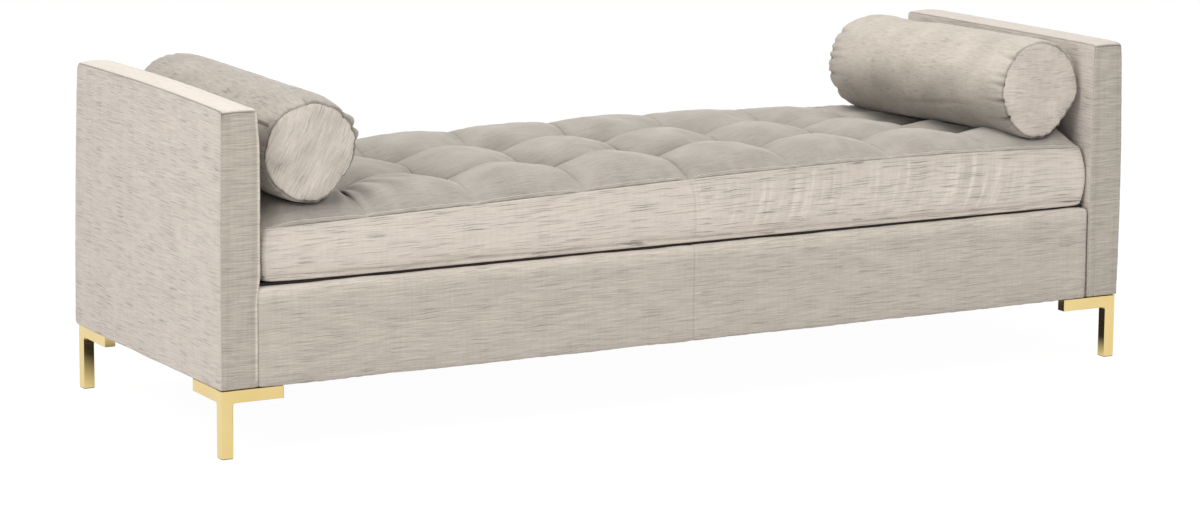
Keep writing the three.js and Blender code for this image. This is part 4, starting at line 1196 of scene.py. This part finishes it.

# Shade: painted shade in the seams, creases, tufts and hollows and on the border below the top
# seam, a little painted shade where the bolsters press, painted light and shade on the folds and
# beside the middle seam, and a painted highlight on the rim beside the top seam. The top is a
# little lighter towards the right.
shade = 1 - 0.5 * bell(from_top_seam, 0.0009) - 0.06 * fading(seam, 0.009)
shade -= 0.16 * bell(from_low_seam, 0.0008)
gap = under_bolsters(points[:, 0], points[:, 1], np.full(len(x), 9.0), 0.0) - points[:, 2]
gap = np.maximum(gap, 0)
shade -= 0.2 * top * fading(gap, np.where(x < 0, 0.014, 0.006))
shade += top * 0.14 * bell(edge - 0.0025, 0.0012)
shade -= 0.16 * bell(centre_seam, 0.0015)
shade += 0.035 * fading(centre_seam, 0.02) * ripple(np.stack([around], 1), 0.008, 70)
shade -= border * (0.07 + 0.05 * np.clip(x / 0.2, 0, 1)) * fading(
    from_top_seam, 0.02 + 0.02 * np.clip(x / 0.3, 0, 1))
shade += 34 * rays + 0.3 * fan + 34 * drawn
shade *= 0.975 + 0.1 * top * np.clip((x - 0.1) / 0.6, 0, 1)
shade -= top * inside * pinched * (1 - 0.85 * spread) * (0.2 * fading(column_line, 0.0045) +
                                   0.14 * fading(row_line, 0.0045))
shade -= 0.3 * top * bell(away, 0.012)
sunk = np.clip((crest_level(x, y) - tufted_level(x, y)) / tuft_depth, 0, 1)
shade += top * inside * (0.03 - 0.3 * sunk)
shade += 0.05 * top * ripple(flat, 0.09, 68) * inside
shade = np.maximum(shade, 0.02)
# The top's velvet is a darker copy of the border's: partly the nap's direction, partly painted
# shade for how the light falls on it.
cushion_top = velvet("velvet_cushion_top", (0.381, 0.352, 0.315, 1), depth=0.09, length=0.034,
                     height=0.0024, weave=0.1, patches=0.38, sheen=0.45, occlusion_shade_within=0.1)
cushion_border = velvet("velvet_cushion_border", (0.675, 0.61, 0.548, 1), depth=0.42,
                        length=0.07, height=0.002, weave=0.11, patches=0.2)
rise_of_face = rise[faces].mean(1)
kinds = np.where((rise_of_face > tiny) & (rise_of_face < 1 - tiny), 1, 0)
kinds = np.where((rise_of_face < tiny) & (edge[faces].mean(1) < 0.014), 1, kinds)
up = np.where(floor_part, -edge, up)
end_wall = (np.abs(x[faces]).mean(1) / seam_x > np.abs(y[faces]).mean(1) / seam_y)
corner_x, corner_y, corner_up = x[faces], y[faces], up[faces]
across = np.where((kinds == 1)[:, None] & end_wall[:, None], corner_y, corner_x)
tall = np.where((kinds == 1)[:, None], corner_up, corner_y)
places = np.stack([across, tall], 2).reshape(-1, 2)
cushion = new_piece("seat_cushion_velvet", points, faces, [cushion_top, cushion_border], kinds,
                    places, shade)
marks = cushion.data.attributes.new("gathers", "FLOAT", "POINT")
marks.data.foreach_set("value", gathers.astype(np.float32))
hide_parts("seat_cushion_cover")
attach(cushion, "seat_cushion")

# Topstitch: a row of pale thread 5 mm in from the cushion's top seam, through the
# turned-in edge of the cover.
finder = kdtree.KDTree(int(top.sum()))
top_at = np.nonzero(top)[0]
for number, at in enumerate(top_at):
    finder.insert((x[at], y[at], 0), number)
finder.balance()


def on_the_top(spot_x, spot_y):
    """The place on the finished top above a spot of its plan."""
    near_by = finder.find_n((spot_x, spot_y, 0), 4)
    weights = np.array([1 / (apart + 1e-5) for _, _, apart in near_by])
    place = points[top_at[[number for _, number, _ in near_by]]]
    return (place * weights[:, None]).sum(0) / weights.sum()


thread, tree, shader = new_material("stitching_thread", 0.6, Sheen_Weight=0.3)
twist = noise(tree, object_place(tree), 2400)
tree.links.new(blended(tree, twist, (0.62, 0.57, 0.5, 1), (0.86, 0.81, 0.74, 1)),
               shader.inputs["Base Color"])
stitch_inset, stitch_step = 0.0055, 0.004
round_x, round_y = seam_x - stitch_inset, seam_y - stitch_inset
lap = [(-round_x, -round_y), (round_x, -round_y), (round_x, round_y), (-round_x, round_y),
       (-round_x, -round_y)]
lap, _ = evenly(lap, stitch_step)
stitch_path = [on_the_top(*spot) + np.array([0, 0, 0.0003]) for spot in lap]
stitches = grown("seat_cushion_topstitch", path_piece("topstitch_line", [stitch_path]), bar_tree,
                 {"Pitch": 0.0052, "Bar Length": 0.0036, "Bar Radius": 0.00045,
                  "Finish": thread, "Wander": 0.0002})
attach(stitches, "seat_cushion")

# Bolsters: two loose rolls, a foam core wrapped in fibre, in velvet covers with a round cap
# sewn on at each end. The caps' seams are gathered and wavy; a zip placket faces the arm.
bolster_sides, cap_radius, cap_inset = 96, 0.0915, 0.009
# The left roll's velvet is a darker copy of the right roll's: painted shade.
roll_velvet = {
    "left": velvet("velvet_roll_left", (0.395, 0.36, 0.323, 1), depth=0.24, length=0.028,
                   height=0.0028, weave=0.14, patches=0.26, turn=quarter),
    "right": velvet("velvet_roll_right", (0.52, 0.474, 0.42, 1), depth=0.14, length=0.026,
                    height=0.0028, weave=0.07, patches=0.42, turn=quarter)}
cap_velvet = {
    "left": velvet("velvet_cap_left", (0.572, 0.518, 0.467, 1), depth=0.18, length=0.034,
                   height=0.0028, weave=0.14, patches=0.2, turn=math.radians(-62)),
    "right": velvet("velvet_cap_right", (0.585, 0.522, 0.467, 1), depth=0.2, length=0.034,
                    height=0.0028, weave=0.12, patches=0.18)}
# Each roll's gathers beside its caps: angle seen from the front, from the right, and strength.
pinches = {"left": ((95, 0.5), (67, 0.7), (42, 1.2), (23, 1.1), (6, 0.9), (-40, 0.5), (230, 0.6)),
           "right": ((134, 0.9), (150, 0.5), (160, 1.1), (171, 1.3), (191, 1.7), (215, 1.5),
                     (70, 0.4), (-30, 0.5), (-60, 0.6))}


def roll_grid(half):
    """Stations from the middle of one cap to the middle of the other: place, radius and kind."""
    stations = []
    for share in np.linspace(0.07, 0.97, 13):
        crown = 0.006 * (1 - share ** 2.2)
        stations.append((-half + cap_inset - 0.001 - crown, cap_radius * share, 0, share))
    stations.append((-half + cap_inset, cap_radius, 1, 1.0))
    tight = [0.0018, 0.004, 0.0075, 0.0125]
    run = half - cap_inset
    inner = np.linspace(0.0185, run, 46)
    for offset in tight + inner.tolist():
        share = min(1, offset / 0.075)
        swell = math.sin(share * math.pi / 2) ** 0.6
        radius = cap_radius + (bolster_radius - 0.0015 - cap_radius) * swell
        stations.append((-run + offset, radius, 2, 1.0))
    mirrored = [(-y, radius, kind, share) for y, radius, kind, share in reversed(stations[:-1])]
    return np.array(stations + mirrored)


# How each roll's cover is pulled out of round at its front seam: by angle, width and distance.
out_of_round = {"left": ((95, 38, -0.002), (-36, 28, -0.0085), (-84, 11, 0.005),
                         (-172, 30, 0.0025)),
                "right": ((90, 45, 0.0045), (-92, 34, 0.006), (-42, 24, -0.012))}


def roll_faces(stations, sides):
    """Faces of the roll's skin, and the two fans that close the middles of its caps."""
    rows = len(stations)
    index = np.arange(rows * sides).reshape(rows, sides)
    ring = np.roll(index, -1, axis=1)
    skin = np.stack([index[:-1], index[1:], ring[1:], ring[:-1]], 2).reshape(-1, 4)
    hub_front, hub_back = rows * sides, rows * sides + 1
    quads = []
    for side in range(0, sides, 2):
        after, last = (side + 1) % sides, (side + 2) % sides
        quads.append((hub_front, side, after, last))
        quads.append((hub_back, index[-1, last], index[-1, after], index[-1, side]))
    return skin, np.array(quads)


cad_arm_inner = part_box("right_arm_cover")[0].x


def bolster_skin(side, sign):
    middle_x, middle_z, shift, rise = bolster_lie[side]
    half = bolster_run / 2
    seed = 80 + sign
    stations = roll_grid(half)
    turns = np.linspace(0, math.tau, bolster_sides, endpoint=False)
    row, side_at = np.meshgrid(np.arange(len(stations)), np.arange(bolster_sides), indexing="ij")
    row, turn = row.ravel(), turns[side_at.ravel()]
    y, radius = stations[row, 0], stations[row, 1]
    points = np.stack([radius * np.cos(turn), y, radius * np.sin(turn)], 1)
    points = np.concatenate([points, [[0, stations[0, 0] - 0.0002, 0],
                                      [0, -stations[0, 0] + 0.0002, 0]]])
    skin, ends = roll_faces(stations, bolster_sides)
    faces = np.concatenate([skin, ends])
    seam = stations[row, 2] == 1
    held = np.concatenate([seam, [False, False]])
    blown = puffed_up(points, faces, held, pressure=5.0, cap=0.008, slack=0.02)
    points = points + (blown - points) * 0.55
    spots = np.stack([np.concatenate([turn, [0, 0]]), points[:, 1], np.concatenate([
        stations[row, 3], [0, 0]])], 1)
    cos_spot, sin_spot = np.cos(spots[:, 0]), np.sin(spots[:, 0])
    hub = np.arange(len(points)) >= len(points) - 2
    cos_spot[hub] = sin_spot[hub] = 0
    kind = np.concatenate([stations[row, 2], [0, 0]])
    points, faces, facing, spot = finer(f"roll_{side}", points, faces,
                                        np.stack([cos_spot, sin_spot, kind], 1))
    turn = np.arctan2(spot[:, 1], spot[:, 0])
    y, kind = points[:, 1], spot[:, 2]
    radius = np.hypot(points[:, 0], points[:, 2])
    body = kind > 1.0 + tiny
    cap = kind < 1.0 - tiny
    from_seam = np.where(cap, cap_radius - radius, np.abs(np.abs(y) - (half - cap_inset)))
    from_seam = np.maximum(from_seam, 0)
    front = y < 0
    circle = np.stack([np.cos(turn), np.sin(turn), np.sign(y) * 0.7], 1)
    # Gathers: short pleats that run from the seam into the body, deeper in some places.
    depth = 0.55 + 0.45 * ripple(circle, 1.3, seed + 1)
    pleats = np.abs(np.sin(13.5 * turn + 1.4 * ripple(circle, 1.1, seed + 2)))
    pinched = np.zeros(len(y))
    for angle, strength in pinches[side]:
        gap = np.degrees(turn) - angle
        gap = np.abs((gap + 180) % 360 - 180)
        pinched = np.maximum(pinched, strength * bell(gap, 2.6))
    run_in = fading(from_seam, 0.024) * (1 - 0.5 * fading(from_seam, 0.003))
    gather = body * run_in * (0.0016 * depth * (pleats ** 0.6 - 0.7) - 0.0046 * pinched)
    lobes = sum(bell(np.degrees(turn) - angle, 6.5) for angle in (31, 15))
    lobes = body * lobes * bell(from_seam - 0.01, 0.008) * (sign < 0) * 0.0075
    wave = (0.0012 * ripple(circle, 0.62, seed + 3) - 0.0022 * depth * (1 - pleats) ** 1.5 -
            0.0028 * pinched) * fading(from_seam, 0.008) * np.where(front, 1, 0.5)
    round_place = np.stack([points[:, 0], points[:, 2], y], 1)
    soft = body * (0.0011 * ripple(round_place * np.array([1, 1, 0.5]), 0.12, seed + 5) +
                   0.0004 * ripple(round_place, 0.035, seed + 6))
    soft += cap * (0.0009 * ripple(round_place, 0.06, seed + 7) +
                   0.0004 * ripple(round_place, 0.022, seed + 8))
    dip = seam_dip(from_seam, depth=0.0012, width=0.0018, roll=0.0006, reach=0.006)
    ridge = 0.0011 * bell(from_seam - 0.0028, 0.0018) * body
    # Zip placket along the arm side: the upper flap laps over the lower one.
    flap_turn = math.radians(147 if sign < 0 else 33)
    lap = (turn - flap_turn) * bolster_radius * sign
    above = 1 / (1 + np.exp(-lap / 0.0007))
    reach = body * (np.abs(y) < half - cap_inset - 0.012)
    flap = reach * (0.0026 * above * fading(np.maximum(lap, 0), 0.03) -
                    0.0022 * (1 - above) * fading(np.maximum(-lap, 0), 0.006))
    # The soft crease low on the right roll, and the dimple beside the left cap's seam.
    crease = np.zeros(len(y))
    dimple = np.zeros(len(y))
    if sign > 0:
        line = turn - math.radians(-152) - 0.16 * np.sin(y * 7 + 0.4)
        along = bell(y + 0.06, 0.14)
        crease = body * along * 0.0026 * bell(line * bolster_radius, 0.007)
        lump = body * 0.004 * bell(y - 0.27, 0.045) * bell(turn - math.radians(80), 0.5)
        hollow = body * 0.004 * bell(y - 0.15, 0.05) * bell(turn - math.radians(85), 0.5)
        crease = crease - lump + hollow
    else:
        spot_x, spot_z = -0.067, -0.022
        span = np.hypot((points[:, 0] - spot_x), (points[:, 2] - spot_z) * 1.6)
        angle = np.arctan2(points[:, 2] - spot_z, points[:, 0] - spot_x)
        dimple = cap * front * (0.0062 * bell(span, 0.02) + 0.0013 * fading(
            span, 0.03) * np.sin(5 * angle + 0.8))
    push = gather + wave + soft + ridge + flap - dip - crease - dimple
    limit = np.where(body, bolster_radius + 0.0008 - radius, 1)
    push = np.minimum(push, np.maximum(limit, 0) + 0.001) + lobes
    out = facing.copy()
    near_seam = fading(from_seam, 0.004)[:, None]
    radial = np.stack([np.cos(turn), np.zeros(len(turn)), np.sin(turn)], 1)
    out = out * (1 - near_seam) + radial * near_seam
    points = points + out * push[:, None]
    scallop = 0.0018 * ripple(circle, 0.5, seed + 9) * fading(from_seam, 0.01)
    points[:, 1] += scallop
    if sign > 0:
        behind = np.clip(points[:, 1] / half, 0, 1) ** 2
        points += behind[:, None] * np.array([-0.001, 0.013, -0.006])
        tucks = bell(turn - math.radians(-45), 0.7) * front
        notched = np.abs(np.sin(14 * turn + 0.8 * np.sin(3 * turn))) ** 0.7 - 0.6
        points += radial * (0.0058 * tucks * notched * fading(from_seam, 0.007))[:, None]
    for angle, width, distance in out_of_round[side]:
        gap = (np.degrees(turn) - angle + 180) % 360 - 180
        pull = distance * bell(gap, width) * front
        pull = pull * np.where(body, fading(from_seam, 0.03), radius / cap_radius)
        points += radial * pull[:, None]

    # Shade: painted shade in the seam, the gathers, the creases, the placket and along the bottom
    # where the roll rests, and a painted highlight on the lit edge of the cap.
    shade = 1 - 0.36 * bell(from_seam, 0.0017) - 0.05 * fading(from_seam, 0.01)
    shade -= body * (0.16 * (1 - pleats) ** 3 * depth + 0.4 * pinched) * fading(from_seam, 0.02)
    shade -= 0.95 * reach * (1 - above) * fading(np.maximum(-lap, 0), 0.003)
    shade -= 26 * np.maximum(crease, 0) + 24 * np.maximum(dimple, 0)
    lit = front * cap * bell(turn - math.radians(-25), 0.75)
    shade += 0.45 * lit * bell(from_seam - 0.0024, 0.0016)
    if sign > 0:
        # Painted shade: the underside and the side towards the middle of the seat are darker,
        # and the rest a little lighter.
        underside_shade = np.maximum(0, np.cos(turn + math.radians(125)))
        shade *= 1 + body * (0.1 - 0.53 * underside_shade ** 1.6)
    else:
        # Painted shade on the side towards the arm, near the front.
        hidden = bell(np.abs(np.degrees(turn)) - 180, 32)
        shade -= 0.3 * body * front * hidden * fading(from_seam, 0.12)
    shade += 0.05 * ripple(round_place * np.array([1, 1, 0.6]), 0.07, seed + 10)
    # Painted shadow along the bottom, where the roll rests on the cushion.
    shade *= 1 - 0.5 * body * bell(np.degrees(turn) + 92, 13)
    shade = np.maximum(shade, 0.02)
    kinds = (kind[faces].mean(1) < 1 - tiny).astype(int)
    arc = np.arctan2(points[faces][..., 2], points[faces][..., 0])
    base = arc[:, :1]
    arc = base + (arc - base + math.pi) % math.tau - math.pi
    across = np.where((kinds == 1)[:, None], points[faces][..., 0], arc * bolster_radius)
    tall = np.where((kinds == 1)[:, None], points[faces][..., 2], points[faces][..., 1])
    places = np.stack([across, tall], 2).reshape(-1, 2)
    ahead = Vector((shift, 1, rise)).normalized()
    lie = Vector((0, 1, 0)).rotation_difference(ahead).to_matrix()
    points = points @ np.array(lie).T + np.array([middle_x, 0, middle_z])
    if sign > 0:
        points[:, 0] = np.minimum(points[:, 0], cad_arm_inner - bolster_gap)
    made = new_piece(f"bolster_{side}_velvet", points, faces,
                     [roll_velvet[side], cap_velvet[side]], kinds, places, shade)
    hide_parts(f"bolster_{side}_cover")
    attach(made, f"bolster_{side}")


bolster_skin("left", -1)
bolster_skin("right", 1)

# Studio: a pale floor, a plain light room and three soft lamps. The camera stands in front of
# the seat, a little to the left, at the photograph's angle.
stage_mesh = bmesh.new()
bmesh.ops.create_grid(stage_mesh, x_segments=1, y_segments=1, size=60)
floor_mesh = bpy.data.meshes.new("floor")
stage_mesh.to_mesh(floor_mesh)
stage_mesh.free()
floor = bpy.data.objects.new("floor", floor_mesh)
bpy.context.scene.collection.objects.link(floor)
pale, tree, shader = new_material("studio_floor", 0.9)
shader.inputs["Base Color"].default_value = (0.8, 0.8, 0.8, 1)
rays = tree.nodes.new("ShaderNodeLightPath")
seen = sums(tree, "MAXIMUM", rays.outputs["Is Camera Ray"], rays.outputs["Is Transmission Ray"])
glow = add_node(tree, "ShaderNodeEmission", {"Color": (1, 1, 1, 1), "Strength": 1.045})
lit = add_node(tree, "ShaderNodeMixShader",
               {0: sums(tree, "MULTIPLY", seen, 0.93), 1: shader.outputs[0], 2: glow.outputs[0]})
# Polished metal sees the pale floor too, and a painted shadow on the floor under the seat: a glow
# that is dark beneath the seat, seen only by glossy rays.
place = add_node(tree, "ShaderNodeSeparateXYZ", {0: object_place(tree)})
beyond_end = sums(tree, "SUBTRACT", sums(tree, "ABSOLUTE", place.outputs[0], 0), cad_box[1][0])
beyond_side = sums(tree, "SUBTRACT", sums(tree, "ABSOLUTE", place.outputs[1], 0), cad_box[1][1])
painted_floor_shadow = between(tree, sums(tree, "MAXIMUM", beyond_end, beyond_side), -0.13, 0.0, 0.03, 1.0)
mirrored = add_node(tree, "ShaderNodeEmission", {"Color": (1, 1, 1, 1), "Strength": painted_floor_shadow})
both = add_node(tree, "ShaderNodeMixShader",
                {0: rays.outputs["Is Glossy Ray"], 1: lit.outputs[0], 2: mirrored.outputs[0]})
out = next(node for node in tree.nodes if node.type == "OUTPUT_MATERIAL")
tree.links.new(both.outputs[0], out.inputs["Surface"])
floor_mesh.materials.append(pale)

world = bpy.data.worlds.new("studio")
bpy.context.scene.world = world
world.use_nodes = True
tree = world.node_tree
tree.nodes.clear()
rays = tree.nodes.new("ShaderNodeLightPath")
seen = sums(tree, "MAXIMUM", rays.outputs["Is Camera Ray"], rays.outputs["Is Glossy Ray"])
seen = sums(tree, "MAXIMUM", seen, rays.outputs["Is Transmission Ray"])
room = add_node(tree, "ShaderNodeBackground", {"Color": (1, 0.99, 0.97, 1), "Strength": 0.5})
backdrop = add_node(tree, "ShaderNodeBackground", {"Color": (1, 1, 1, 1), "Strength": 1.0})
both = add_node(tree, "ShaderNodeMixShader", {0: seen, 1: room.outputs[0], 2: backdrop.outputs[0]})
end = tree.nodes.new("ShaderNodeOutputWorld")
tree.links.new(both.outputs[0], end.inputs["Surface"])


def softbox(name, spot, target, size, power, colour):
    lamp = bpy.data.lights.new(name, "AREA")
    lamp.shape, lamp.size, lamp.size_y = "RECTANGLE", size[0], size[1]
    lamp.energy, lamp.color = power, colour
    made = bpy.data.objects.new(name, lamp)
    bpy.context.scene.collection.objects.link(made)
    made.location = spot
    made.rotation_euler = (Vector(target) - Vector(spot)).to_track_quat("-Z", "Y").to_euler()


softbox("overhead", spot=(-0.6, 0.2, 4.2), target=(0, 0, 0.4), size=(3.5, 2.5), power=90,
        colour=(1, 0.985, 0.96))
softbox("key", spot=(-3.6, -1.6, 2.6), target=(0, 0, 0.3), size=(2.2, 2.2), power=75,
        colour=(1, 0.98, 0.955))
softbox("fill", spot=(1.6, -4.2, 1.8), target=(0.2, 0, 0.3), size=(2.6, 2.0), power=45,
        colour=(1, 0.99, 0.98))

camera_data = bpy.data.cameras.new("camera")
camera = bpy.data.objects.new("camera", camera_data)
bpy.context.scene.collection.objects.link(camera)
photo_width, focal_pixels = 1200, 4252.3
camera_data.sensor_width = 36
camera_data.lens = camera_data.sensor_width * focal_pixels / photo_width
yaw, pitch, roll = (math.radians(angle) for angle in (-28.96, -10.90, 0.44))
ahead = Vector((math.sin(-yaw) * math.cos(pitch), math.cos(yaw) * math.cos(pitch),
                math.sin(pitch)))
right = ahead.cross(Vector((0, 0, 1))).normalized()
up = right.cross(ahead)
right, up = (right * math.cos(roll) + up * math.sin(roll),
             up * math.cos(roll) - right * math.sin(roll))
camera_spot = Vector((-4.0355, -7.2595, 1.8345))
camera_turn = Matrix((right, up, -ahead)).transposed().to_quaternion()
camera.matrix_world = Matrix.LocRotScale(camera_spot, camera_turn, None)
camera_data.clip_start, camera_data.clip_end = 0.1, 100
bpy.context.scene.camera = camera
bpy.context.scene.view_settings.view_transform = "Standard"
